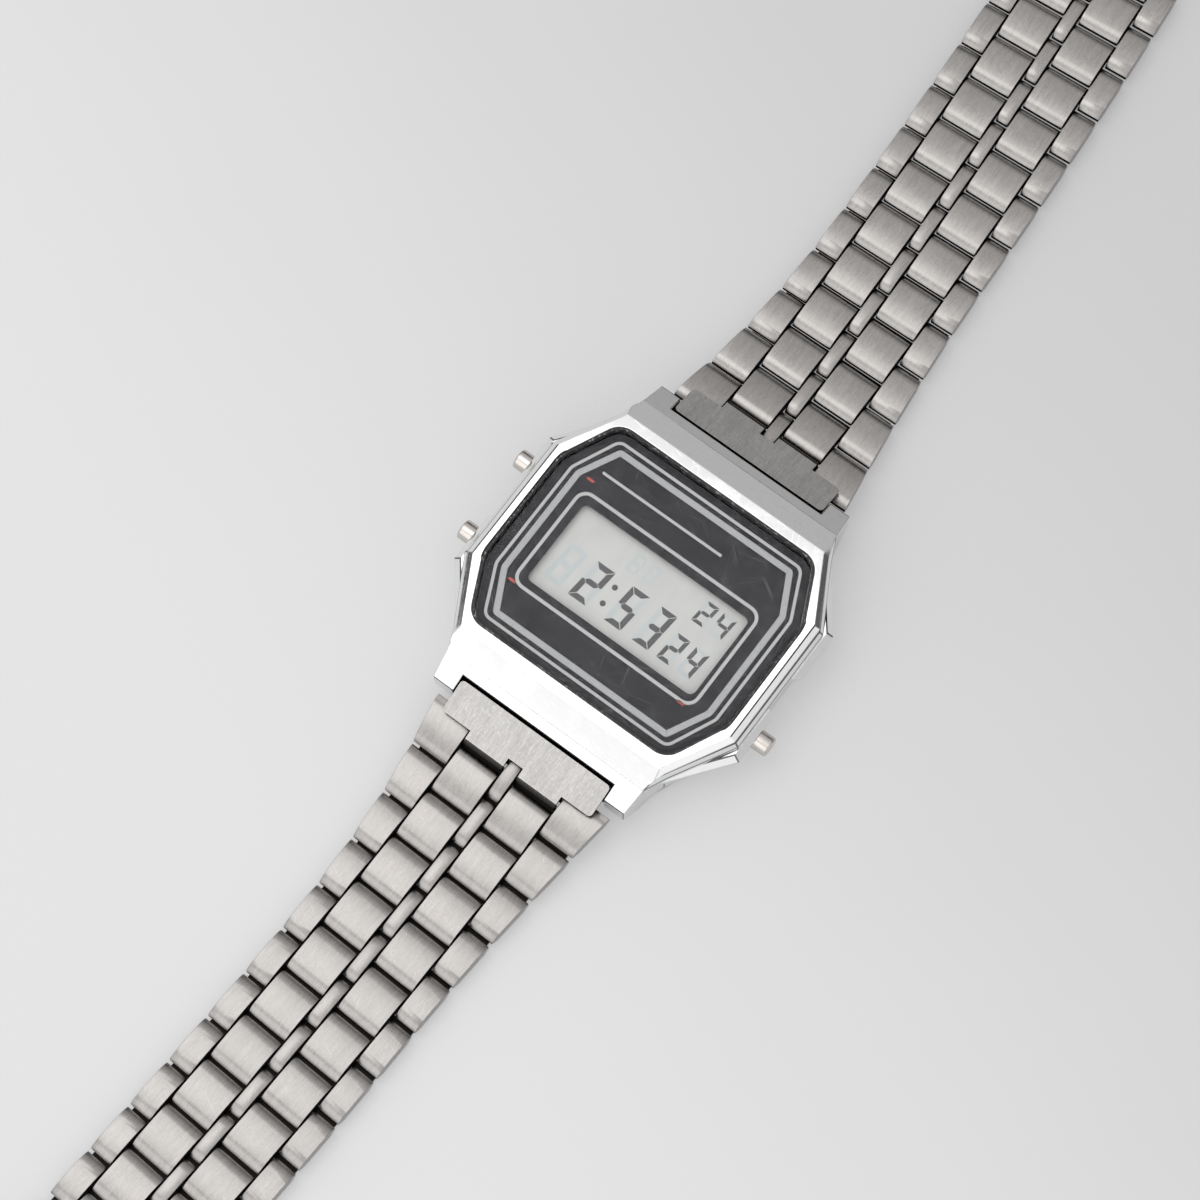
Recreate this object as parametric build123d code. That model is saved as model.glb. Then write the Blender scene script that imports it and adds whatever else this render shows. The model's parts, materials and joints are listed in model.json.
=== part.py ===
"""Digital wristwatch with a chromed octagonal case and a folded-link steel bracelet.

Millimetres, +Z up. The case back lies on z = 0 with the origin at its centre,
+Y runs to the 12 o'clock end of the bracelet and +X to the 3 o'clock side.
The bracelet lies open and nearly flat, as it does on a table.
The watch is sized from the inside out: cell and display, module, cavity, lens, case.
"""
import os
from math import radians, sin

from build123d import *

# Fits and shared clearances
running_gap = 0.07
seat_gap = 0.03
cut_over = 1.0

# Battery, a standard coin cell, and its clamp
battery_radius = 10.0
battery_thickness = 1.6
battery_edge_round = 0.25
battery_side_room = 0.3
battery_end_room = 0.2
battery_top_room = 0.09
clamp_width = 4.0
clamp_thickness = 0.2

# Display, light guide and board
display_width = 24.4
display_height = 13.6
display_thickness = 0.9
reflector_thickness = 0.12
guide_inset = 1.5
guide_thickness = 0.7
strip_width = 0.9
board_thickness = 0.5
window_side = 2.3
window_end = 2.05
window_round = 0.7
window_y = -0.85

# Module frame, its cover and the room for parts beside the battery
module_play = 0.2
module_wall = 1.6
display_side_room = 1.2
parts_room = 1.8
cover_thickness = 0.2
cover_inset = 0.4
chip_size = 3.6
chip_height = 0.9
chip_corner_round = 0.72
chip_x = 7.6
chip_wall_room = 4.1
can_radius = 0.7
can_length = 4.6
can_x = -5.5
can_wall_room = 3.2
lamp_size = 1.4
lamp_height = 0.6

# Sounder and its contact coil
piezo_radius = 7.5
piezo_thickness = 0.22
piezo_contact_reach = 6.5
contact_wire = 0.12
contact_radius = 0.8
contact_clear = 1.2
contact_turns = 5
contact_hole = 1.2

# Case back, its seal and its screws
back_thickness = 0.8
back_rise = 1.05
back_inset = 0.9
back_corner_y = 1.5
back_length_inset = 0.5
back_end_past = 0.4
back_rim_drop = 0.2
back_rim_width = 2.4
seal_wall = 0.4
seal_set = 0.1
seal_height = 0.4
screw_in = 0.7
screw_past_cavity = 1.15
screw_head_radius = 0.95
screw_head_height = 0.4
screw_shank_radius = 0.5
screw_length = 2.6
screw_slot_width = 0.25
screw_slot_depth = 0.22

# Lens, its gasket and the printed panel
lens_side_lap = 0.9
lens_end_back = 1.65
lens_corner_x = 2.8
lens_corner_y = 5.85
lens_side_round = 3.0
lens_end_round = 2.0
lens_thickness = 1.25
lens_edge_round = 0.3
lens_seat_depth = 1.0
gasket_wall = 0.22
gasket_drop = 0.15
panel_thickness = 0.35
panel_inset = 0.12
ledge_width = 1.4
ledge_thickness = 0.4
cavity_corner_x = 2.8
cavity_corner_y = 2.1

# Case: steps of the outline outside the lens
rim_side = 2.7
rim_end = 1.35
upper_slope_length = 2.4
lower_slope_length = 2.7
ridge_past_lens = 0.85
seam_in = 0.75
tip_in = 0.3
side_corner_y = 0.8
wing_corner_y = 1.6
wing_point_past = 0.9
wing_point_in = 0.35
band_inset = 1.15
waist_inset = 0.7
body_inset = 0.85

# Case: depths below its top face
band_depth = 0.75
groove_height = 0.14
groove_depth = 0.3
waist_depth = 2.2
wing_depth = 3.35
seam_depth = 1.05
seam_step = 0.14
tip_depth = 2.5
tip_height = 2.45
heel_rise = 1.1
heel_in = 0.8
foot_in = 2.1

# Case: bevels
land_bevel = 0.55
land_bevel_drop = 0.5
waist_bevel = 0.35
waist_bevel_drop = 0.6
wing_bevel = 0.6
wing_bevel_drop = 0.7
body_bevel = 0.7
body_bevel_drop = 1.2

# Case: scalloped cut-out of each wing
scallop_half = 1.75
scallop_mouth = 2.5
scallop_depth = 0.75
scallop_round = 0.35

# Push buttons
button_below_wing = 0.85
button_y = 4.5
button_stand_out = 1.5
button_radius = 1.05
button_head_length = 2.5
button_edge = 0.18
button_travel = 0.6
stem_radius = 0.5
stem_inside = 0.5
pocket_wall = 1.1
pocket_gap = 0.1
clip_radius = 0.95
clip_thickness = 0.2
clip_set = 0.25
seal_ring_radius = 0.85
seal_ring_length = 0.45
seal_ring_in = 0.45
spring_wire = 0.1
spring_radius = 0.78
spring_turns = 4
module_notch = 1.2
notch_room = 0.3

# Lugs, spring bars and their notch
lug_width = 2.3
notch_depth = 1.65
bar_behind_tip = 1.15
bar_below_tip = 1.55
bar_radius = 0.75
bar_play = 0.3
tip_radius = 0.4
tip_reach = 0.9
tip_hole_past = 0.25
notch_swing_gap = 0.23

# Bracelet links
link_pitch = 5.5
link_gap = 0.4
centre_width = 1.35
column_gap = 0.2
wide_width = 4.55
band_wide = 20.6
band_narrow = 16.2
taper_pitches = 5
pin_radius = 0.4
knuckle_radius = 0.68
cap_thickness = 0.57
cap_crown = 0.13
cap_roll = 0.8
cap_roll_drop = 0.95
cap_end_low = 0.15
cap_skirt_gap = 0.05
cap_skirt_set = 0.65
cap_end_wall = 0.35
cap_side_wall = 0.28
spine_half = 0.36
spine_thickness = 0.45
spine_lap = 0.18

# End links
end_plate_clear = 0.15
end_plate_thickness = 0.36
end_plate_play = 0.15
end_plate_back = 0.95
end_plate_shoulder = 2.65
end_reach_past_tip = 2.03
end_tab_gap = 0.505
end_tab_roll = 0.8
end_tab_low = 0.35
end_tube_wall = 0.3
end_riser_reach = 0.8
end_block_reach = 2.0
end_corner_round = 0.45

# How the open bracelet lies: the end link slopes most, then each link less
slope_shares = (1.0, 0.52, 0.23, 0.06)
slope_rounds = 12
sway_per_link = 0.4
links_12 = 12
links_6 = 11

# Clasp: cover and folding leaf on the 6 o'clock half
cover_overhang = 0.4
cover_length = 23.0
cover_gap = 0.525
cover_above_caps = 0.25
cover_wall = 0.5
cover_depth = 2.35
cover_edge_round = 0.35
leaf_play = 0.4
leaf_pin_set = 2.5
leaf_pin_rise = 0.7
leaf_pin_radius = 0.45
leaf_knuckle = 0.7
leaf_thickness = 0.45
leaf_free_set = 3.5
leaf_slot_length = 9.0
leaf_slot_width = 3.0
hook_drop = 0.95
hook_wall = 0.5
hook_lip = 1.1

# Clasp: catch on the 12 o'clock half
catch_length = 6.0
catch_bar_radius = 0.5
catch_ear_width = 1.5
catch_plate_thickness = 0.7
catch_plate_end = 4.2

# Heights, from the case back up to the lens
base_z = back_thickness
module_low_z = base_z + back_rise
battery_low_z = module_low_z + clamp_thickness + 2 * seat_gap
board_low_z = battery_low_z + battery_thickness + battery_top_room
board_top_z = board_low_z + board_thickness
display_low_z = board_top_z + guide_thickness + reflector_thickness + 3 * seat_gap
display_top_z = display_low_z + display_thickness
cavity_top_z = display_top_z + seat_gap
panel_low_z = cavity_top_z + ledge_thickness + seat_gap
lens_low_z = panel_low_z + panel_thickness + seat_gap
lens_top_z = lens_low_z + lens_thickness
case_top_z = lens_low_z + lens_seat_depth

# Cavity and the module's parts in it
cavity_half_width = display_width / 2 + display_side_room
cavity_half_length = battery_radius + parts_room + module_play + module_wall
room_half_width = cavity_half_width - module_play - module_wall
room_half_length = cavity_half_length - module_play - module_wall
battery_x = battery_radius + battery_side_room - room_half_width
battery_y = battery_radius + battery_end_room - room_half_length
chip_y = cavity_half_length - chip_wall_room
can_y = cavity_half_length - can_wall_room
contact_x = battery_x + battery_radius + contact_clear
piezo_x = contact_x - piezo_contact_reach
window_width = display_width - 2 * window_side
window_height = display_height - 2 * window_end

# Plan of the lens and of the case round it
lens_half_width = cavity_half_width + lens_side_lap
lens_half_length = cavity_half_length - lens_end_back
lens_straight = lens_half_length - lens_corner_y
lens_end_half = lens_half_width - lens_corner_x
cavity_straight = lens_straight + cavity_corner_y
cavity_end_half = cavity_half_width - cavity_corner_x
wing_half = lens_half_width + rim_side
ridge_y = lens_half_length + rim_end
seam_y = ridge_y + upper_slope_length
tip_y = seam_y + lower_slope_length
ridge_half_width = lens_end_half + ridge_past_lens
seam_half_width = ridge_half_width - seam_in
tip_half_width = seam_half_width - tip_in
side_straight = lens_straight + side_corner_y
wing_straight = lens_straight + wing_corner_y
wing_point_x = ridge_half_width - wing_point_in
wing_point_y = ridge_y + wing_point_past

# Heights of the case's steps and slopes
band_low_z = case_top_z - band_depth
waist_low_z = case_top_z - waist_depth
wing_low_z = case_top_z - wing_depth
seam_z = case_top_z - seam_depth
tip_z = case_top_z - tip_depth
tip_low_z = tip_z - tip_height
heel_y = tip_y - heel_in
heel_z = base_z + heel_rise
foot_y = tip_y - foot_in

# Case back, screws and buttons
back_straight = lens_straight + back_corner_y
back_half_width = wing_half - body_inset - body_bevel - back_inset
back_half_length = foot_y - back_length_inset
back_end_half = cavity_end_half + back_end_past
screw_x = cavity_end_half - screw_in
screw_y = cavity_half_length + screw_past_cavity
button_z = wing_low_z - button_below_wing
button_reach = wing_half + button_stand_out
button_head_x = button_reach - button_head_length
stem_inner_x = cavity_half_width - stem_inside
clip_x = stem_inner_x + clip_set
seal_ring_x = cavity_half_width + seal_ring_in
pocket_floor_x = cavity_half_width + pocket_wall

# Lugs and spring bars
notch_half_width = tip_half_width - lug_width
notch_y = tip_y - notch_depth
bar_y = tip_y - bar_behind_tip
bar_z = tip_z - bar_below_tip
bar_half = notch_half_width - bar_play
bar_reach = notch_half_width + tip_reach
tip_hole_reach = bar_reach + tip_hole_past
end_tube_radius = bar_radius + end_tube_wall
notch_swing_radius = end_tube_radius + notch_swing_gap

# Links and end links
wide_inner = centre_width / 2 + column_gap
wide_outer = wide_inner + wide_width
outer_inner = wide_outer + column_gap
cap_length = link_pitch - link_gap
row_start = link_pitch / 4 - cap_length / 2
cap_top = knuckle_radius + cap_thickness
cap_shoulder = cap_top - cap_crown
cap_roll_low = cap_top - cap_roll_drop
spine_top = spine_lap - knuckle_radius
spine_low = spine_top - spine_thickness
cap_skirt_low = spine_top + cap_skirt_gap
pin_line_z = -spine_low
end_plate_top = cap_top + end_plate_clear + end_plate_thickness
end_plate_low = end_plate_top - end_plate_thickness
end_plate_half = notch_half_width - end_plate_play
end_reach = bar_behind_tip + end_reach_past_tip
end_tab_past = row_start + link_pitch / 2 - end_tab_gap

# Clasp
cover_half_width = band_narrow / 2 + cover_overhang
cover_start = row_start + cap_length - link_pitch / 2 + cover_gap
cover_top = cap_top + cover_above_caps
cover_low = cover_top - cover_depth
cover_end = cover_start + cover_length
cover_inside = cover_half_width - cover_wall
leaf_half_width = cover_inside - leaf_play
leaf_pin_half = cover_inside + cover_wall / 2 - seat_gap
leaf_pin_y = cover_end - leaf_pin_set
leaf_pin_z = cover_low + leaf_pin_rise
leaf_free_y = cover_start + leaf_free_set
clasp_reach = band_narrow / 2 - cap_side_wall - seat_gap
half_turns = {"12": Location(), "6": Rot(0, 0, 180)}


def slab(face, low, high):
    """A plan outline raised from one height to another."""
    return extrude(Plane.XY.offset(low) * face, amount=high - low, dir=(0, 0, 1))


def side_slab(face, low, high):
    """An outline in Y and Z drawn out along X."""
    return extrude(Plane.YZ.offset(low) * face, amount=high - low, dir=(1, 0, 0))


def rod(radius, low, high, y=0, z=0):
    """A round bar along X between two places."""
    return side_slab(Pos(y, z) * Circle(radius), low, high)


def block(low, high):
    """A box between two corners."""
    size = [b - a for a, b in zip(low, high)]
    middle = [(a + b) / 2 for a, b in zip(low, high)]
    return Pos(*middle) * Box(*size)


def octagon(half_width, half_length, straight, end_half):
    """An elongated octagon about the origin."""
    right = [(end_half, half_length), (half_width, straight)]
    right += [(x, -y) for x, y in reversed(right)]
    return Polygon(*right, *[(-x, -y) for x, y in right], align=None)


def lens_outline(grow=0):
    """The rounded octagon of the lens, grown or shrunk all round."""
    corners = octagon(lens_half_width, lens_half_length, lens_straight, lens_end_half)
    sides = [v for v in corners.vertices() if abs(v.X) > (lens_half_width + lens_end_half) / 2]
    outline = fillet(sides, lens_side_round)
    ends = [v for v in outline.vertices() if abs(abs(v.Y) - lens_half_length) < lens_edge_round]
    outline = fillet(ends, lens_end_round)
    return offset(outline, amount=grow) if grow else outline


def case_outline(inset, straight, shoulder_x, shoulder_y):
    """Outline of one step of the case: its side, its shoulder and the two lugs at each end."""
    side = [(tip_half_width, tip_y), (seam_half_width, seam_y), (shoulder_x, shoulder_y),
            (wing_half - inset, straight)]
    right = side + [(x, -y) for x, y in reversed(side)]
    return Polygon(*right, *[(-x, -y) for x, y in right], align=None)


def bevel_top(solid, set_in, drop):
    """Bevel the whole top edge of a step."""
    top = solid.faces().sort_by(Axis.Z)[-1]
    return chamfer(top.edges(), length=set_in, length2=drop, reference=top)


def case_profile():
    """Side view of the case: flat top, two slopes at each end, heel and foot."""
    end = [(ridge_y, case_top_z), (seam_y, seam_z), (seam_y, seam_z - seam_step), (tip_y, tip_z),
           (tip_y, tip_low_z), (heel_y, heel_z), (foot_y, base_z)]
    other = [(-y, z) for y, z in reversed(end)]
    return side_slab(Polygon(*end, *other, align=None), -wing_half - cut_over, wing_half + cut_over)


def scallop():
    """The cut-out in the middle of the right wing, with rounded ends."""
    deep = wing_half - scallop_depth
    points = [(wing_half + cut_over, scallop_mouth), (wing_half, scallop_mouth), (deep, scallop_half)]
    outline = Polygon(*points, *[(x, -y) for x, y in reversed(points)], align=None)
    bends = [v for v in outline.vertices() if v.X < wing_half + cut_over / 2]
    return slab(fillet(bends, scallop_round), wing_low_z - cut_over, waist_low_z + cut_over)


def case_steps():
    """The case as stacked steps: top band, groove, waist, wings and lower body."""
    shoulder = ridge_half_width
    band = slab(case_outline(band_inset, side_straight, shoulder, ridge_y), band_low_z, case_top_z)
    core = slab(case_outline(band_inset + groove_depth, side_straight, shoulder - groove_depth, ridge_y),
                base_z, case_top_z - land_bevel_drop)
    waist = slab(case_outline(waist_inset, side_straight, shoulder + waist_bevel, ridge_y),
                 waist_low_z, band_low_z - groove_height)
    wing = slab(case_outline(0, wing_straight, wing_point_x, wing_point_y), wing_low_z, waist_low_z)
    wing = bevel_top(wing, wing_bevel, wing_bevel_drop)
    wing -= scallop()
    wing -= mirror(scallop(), about=Plane.YZ)
    body = slab(case_outline(body_inset, side_straight, shoulder, ridge_y), base_z, wing_low_z)
    low = body.faces().sort_by(Axis.Z)[0]
    body = chamfer(low.edges(), length=body_bevel, length2=body_bevel_drop, reference=low)
    steps = bevel_top(band, land_bevel, land_bevel_drop) + core
    return steps + bevel_top(waist, waist_bevel, waist_bevel_drop) + wing + body


def button_places():
    """Side, height along the case and name of each push button."""
    return {"button_upper_left": (-1, button_y), "button_lower_left": (-1, -button_y),
            "button_lower_right": (1, -button_y)}


def on_side(solid, side, y):
    """Move a piece built on the right of the case to its button's place."""
    placed = solid if side > 0 else mirror(solid, about=Plane.YZ)
    return Pos(0, y, 0) * placed


def button_hole():
    """Bore, seal groove and outer pocket for one button."""
    bore = rod(stem_radius + running_gap, cavity_half_width - cut_over, button_reach, z=button_z)
    groove = rod(seal_ring_radius + seat_gap, seal_ring_x - seal_ring_length / 2 - seat_gap,
                 seal_ring_x + seal_ring_length / 2 + seat_gap, z=button_z)
    pocket = rod(button_radius + pocket_gap, pocket_floor_x, button_reach, z=button_z)
    return bore + groove + pocket


def lug_cuts():
    """Notch for the end link and holes for the spring bar tips at the 12 o'clock end."""
    notch = block((-notch_half_width, notch_y, 0), (notch_half_width, tip_y + cut_over, case_top_z))
    swing = rod(notch_swing_radius, -notch_half_width, notch_half_width, bar_y, bar_z)
    holes = rod(tip_radius + seat_gap, -tip_hole_reach, tip_hole_reach, bar_y, bar_z)
    return notch + swing + holes


def cavity_face(grow=0):
    """Plan of the space that holds the module."""
    return octagon(cavity_half_width + grow, cavity_half_length + grow, cavity_straight,
                   cavity_end_half + grow)


def room_face(grow=0):
    """Plan of the room inside the module frame."""
    return cavity_face(grow - module_play - module_wall)


def case_shell():
    """Chromed case: one moulding open at the back, with pockets for all that it holds."""
    shell = case_steps() & case_profile()
    shell -= slab(lens_outline(gasket_wall + 2 * seat_gap), panel_low_z - seat_gap, case_top_z + cut_over)
    shell -= slab(lens_outline(-ledge_width), base_z, case_top_z)
    shell -= slab(cavity_face(), base_z - cut_over, cavity_top_z)
    shell -= slab(cavity_face(seal_set + seal_wall + seat_gap), base_z - cut_over, base_z + seal_height)
    for half in half_turns.values():
        shell -= half * lug_cuts()
    for side, y in button_places().values():
        shell -= on_side(button_hole(), side, y)
    for x, y in screw_places():
        shell -= Pos(x, y, base_z + screw_length / 2) * Cylinder(screw_shank_radius, screw_length)
    return shell


def lens():
    """Clear lens with a rounded upper edge."""
    solid = slab(lens_outline(), lens_low_z, lens_top_z)
    top = solid.faces().sort_by(Axis.Z)[-1]
    return fillet(top.edges(), lens_edge_round)


def lens_gasket():
    """Black ring round the lens."""
    return slab(lens_outline(gasket_wall + seat_gap) - lens_outline(seat_gap), lens_low_z,
                case_top_z - gasket_drop)


def window():
    """Plan of the display window."""
    return Pos(0, window_y) * RectangleRounded(window_width, window_height, window_round)


def dial_panel():
    """Printed panel under the lens, with the display window."""
    return slab(lens_outline(-panel_inset) - window(), panel_low_z, panel_low_z + panel_thickness)


def display_box(width, height, low, thickness):
    """A flat box centred on the display window."""
    return Pos(0, window_y, low + thickness / 2) * Box(width, height, thickness)


def display_glass():
    """The display cell."""
    return display_box(display_width, display_height, display_low_z, display_thickness)


def guide_height():
    """Depth of the display's window between its two contact strips."""
    return display_height - 2 * strip_width - 2 * seat_gap


def display_reflector():
    """Thin sheet behind the display cell."""
    low = display_low_z - seat_gap - reflector_thickness
    return display_box(display_width - 2 * guide_inset, guide_height() - seat_gap, low, reflector_thickness)


def light_guide():
    """Clear plate that spreads the lamp's light behind the display."""
    low = board_top_z + seat_gap
    return display_box(display_width - 2 * guide_inset, guide_height() - seat_gap, low, guide_thickness)


def contact_strips():
    """Two rubber strips that join the display to the board."""
    low = board_top_z + seat_gap
    high = display_low_z - seat_gap
    strips = []
    for side in (-1, 1):
        y = window_y + side * (display_height - strip_width) / 2
        strips.append(Pos(0, y, (low + high) / 2) * Box(display_width - guide_inset, strip_width, high - low))
    return strips


def module_frame():
    """Plastic frame of the module: display pocket above, board and battery space below."""
    frame = slab(cavity_face(-module_play), module_low_z, display_top_z)
    frame -= slab(room_face(), module_low_z - cut_over, board_top_z)
    pocket = display_box(display_width + 2 * seat_gap, display_height + 2 * seat_gap, board_top_z,
                         display_top_z)
    frame -= pocket
    notch = block((stem_inner_x - button_travel - notch_room, -module_notch, button_z - module_notch),
                  (cavity_half_width, module_notch, button_z + module_notch))
    for side, y in button_places().values():
        frame -= on_side(notch, side, y)
    return frame


def circuit_board():
    """Board that fills the frame's lower space."""
    return slab(room_face(-seat_gap), board_low_z, board_top_z - seat_gap)


def control_chip():
    """Blob over the chip on the board's underside."""
    low = board_low_z - seat_gap - chip_height
    blob = Pos(chip_x, chip_y, low + chip_height / 2) * Box(chip_size, chip_size, chip_height)
    return fillet(blob.edges().filter_by(Axis.Z), chip_corner_round)


def quartz_can():
    """Metal can of the timing crystal."""
    z = board_low_z - seat_gap - can_radius
    return rod(can_radius, can_x - can_length / 2, can_x + can_length / 2, can_y, z)


def backlight_lamp():
    """Lamp at the left end of the light guide."""
    x = -display_width / 2 + guide_inset - seat_gap - lamp_size / 2
    z = board_top_z + seat_gap + lamp_height / 2
    return Pos(x, window_y, z) * Box(lamp_size, lamp_size, lamp_height)


def battery():
    """Coin cell under the board."""
    cell = Pos(battery_x, battery_y, battery_low_z + battery_thickness / 2) * Cylinder(
        battery_radius, battery_thickness)
    return fillet(cell.edges().filter_by(GeomType.CIRCLE), battery_edge_round)


def battery_clamp():
    """Steel strap that holds the battery in the frame."""
    reach = room_half_length - seat_gap
    return block((battery_x - clamp_width / 2, -reach, module_low_z + seat_gap),
                 (battery_x + clamp_width / 2, reach, module_low_z + seat_gap + clamp_thickness))


def module_cover():
    """Steel plate over the back of the module, open where the sounder's contact passes."""
    plate = slab(cavity_face(-module_play - cover_inset), module_low_z - cover_thickness, module_low_z)
    return plate - Pos(contact_x, 0, module_low_z) * Cylinder(contact_hole, 2 * cut_over)


def piezo_disc():
    """Sounder bonded inside the case back."""
    return Pos(piezo_x, 0, base_z + piezo_thickness / 2) * Cylinder(piezo_radius, piezo_thickness)


def coil(radius, wire, low, high, turns):
    """Open coil spring along Z between two heights."""
    rise = (high - low - 2 * wire) / turns
    path = Helix(pitch=rise, height=rise * turns, radius=radius)
    start = Plane(origin=path @ 0, z_dir=path % 0)
    return Pos(0, 0, low + wire) * sweep(start * Circle(wire), path=path)


def piezo_spring():
    """Contact coil from the board down to the sounder."""
    spring = coil(contact_radius, contact_wire, base_z + piezo_thickness + seat_gap,
                  board_low_z - seat_gap, contact_turns)
    return Pos(contact_x, 0, 0) * spring


def screw_places():
    """Centres of the four case back screws."""
    return [(x * screw_x, y * screw_y) for x in (-1, 1) for y in (-1, 1)]


def back_face(grow=0):
    """Plan of the case back."""
    return octagon(back_half_width + grow, back_half_length + grow, back_straight, back_end_half + grow)


def case_back():
    """Steel back plate: raised middle, lower rim and four screw seats."""
    plate = slab(back_face(), 0, base_z)
    rim = slab(back_face(cut_over) - back_face(-back_rim_width), -cut_over, back_rim_drop)
    plate -= rim
    seat_z = back_rim_drop + screw_head_height
    for x, y in screw_places():
        plate -= Pos(x, y, seat_z / 2) * Cylinder(screw_head_radius + running_gap, seat_z)
        plate -= Pos(x, y, base_z / 2) * Cylinder(screw_shank_radius + running_gap, base_z)
    return plate


def back_gasket():
    """Rubber ring between the case back and the shell."""
    ring = cavity_face(seal_set + seal_wall) - cavity_face(seal_set)
    return slab(ring, base_z, base_z + seal_height - seat_gap)


def back_screws():
    """Four slotted screws of the case back."""
    screws = []
    for x, y in screw_places():
        low = back_rim_drop
        head = Pos(0, 0, low + screw_head_height / 2) * Cylinder(screw_head_radius, screw_head_height)
        shank_top = low + screw_length
        shank = Pos(0, 0, (low + shank_top) / 2) * Cylinder(screw_shank_radius, screw_length)
        slot = Pos(0, 0, low + screw_slot_depth / 2) * Box(
            2 * screw_head_radius, screw_slot_width, screw_slot_depth)
        screws.append(Pos(x, y, 0) * (head + shank - slot))
    return screws


def button():
    """Round push button with its stem, and the clip that keeps it in the case."""
    head = rod(button_radius, button_head_x, button_reach, z=button_z)
    outer = head.faces().sort_by(Axis.X)[-1]
    head = fillet(outer.edges(), button_edge)
    stem = rod(stem_radius, stem_inner_x, button_head_x, z=button_z)
    clip = rod(clip_radius, clip_x, clip_x + clip_thickness, z=button_z)
    clip -= rod(stem_radius, stem_inner_x, button_head_x, z=button_z)
    return [head + stem, clip]


def button_spring():
    """Return spring between the pocket floor and the button head."""
    turn = Plane(origin=(0, 0, button_z), x_dir=(0, 1, 0), z_dir=(1, 0, 0))
    return turn * coil(spring_radius, spring_wire, pocket_floor_x + seat_gap, button_head_x - seat_gap,
                       spring_turns)


def button_seals():
    """Rubber ring round each button stem."""
    low = seal_ring_x - seal_ring_length / 2
    ring = rod(seal_ring_radius, low, low + seal_ring_length, z=button_z)
    ring -= rod(stem_radius + seat_gap, low - cut_over, low + cut_over, z=button_z)
    return [on_side(ring, side, y) for side, y in button_places().values()]


def spring_bars():
    """The two sprung bars across the lugs."""
    bar = rod(bar_radius, -bar_half, bar_half, bar_y, bar_z)
    bar += rod(tip_radius, -bar_reach, bar_reach, bar_y, bar_z)
    return [half * bar for half in half_turns.values()]


def both_sides(low, high, make):
    """Build a piece over a span on the right of the middle, and its mirror on the left."""
    right = make(low, high)
    return right + mirror(right, about=Plane.YZ)


def knuckles(low, high, start, end):
    """A flat loop over one column, round the pins at its two ends."""
    middle = Pos((start + end) / 2, 0) * SlotCenterToCenter(end - start, 2 * knuckle_radius)
    return side_slab(middle, low, high)


def band_width(distance):
    """Width of the bracelet at a distance from the first link's near end."""
    left = max(0, 1 - distance / (taper_pitches * link_pitch))
    return band_narrow + (band_wide - band_narrow) * left ** 2


def pin_half(distance):
    """Half length of the pin at a distance from the first link's near end."""
    return band_width(distance) / 2 - cap_side_wall - running_gap


def cap_profile(start):
    """Side view of a folded cap: crowned top, rolled ends and a skirt."""
    end = start + cap_length
    middle = (start + end) / 2
    crown = ThreePointArc((start + cap_roll, cap_shoulder), (middle, cap_top), (end - cap_roll, cap_shoulder))
    rise = TangentArc((start, cap_roll_low), (start + cap_roll, cap_shoulder), tangent=(0, 1))
    fall = TangentArc((end, cap_roll_low), (end - cap_roll, cap_shoulder), tangent=(0, 1))
    skirt = Polyline((start, cap_roll_low), (start, cap_end_low), (start + cap_skirt_set, cap_skirt_low),
                     (end - cap_skirt_set, cap_skirt_low), (end, cap_end_low), (end, cap_roll_low))
    return make_face([*crown.edges(), *rise.edges(), *fall.edges(), *skirt.edges()])


def cap(inner, near, far, start, pins):
    """A hollow cap over one column, from inner out to near at its near end and far at its far end."""
    end = start + cap_length
    plan = Polygon((inner, start), (near, start), (far, end), (inner, end), align=None)
    outside = slab(plan, cap_skirt_low, cap_top) & side_slab(cap_profile(start), inner, max(near, far))
    low = start + cap_end_wall
    high = end - cap_end_wall
    room = Polygon((inner + cap_side_wall, low), (near - cap_side_wall, low), (far - cap_side_wall, high),
                   (inner + cap_side_wall, high), align=None)
    hollow = outside - slab(room, cap_skirt_low - cut_over, knuckle_radius + seat_gap)
    for y, reach in pins:
        hollow -= rod(pin_radius + running_gap, -reach - seat_gap, reach + seat_gap, y)
    return hollow


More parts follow.
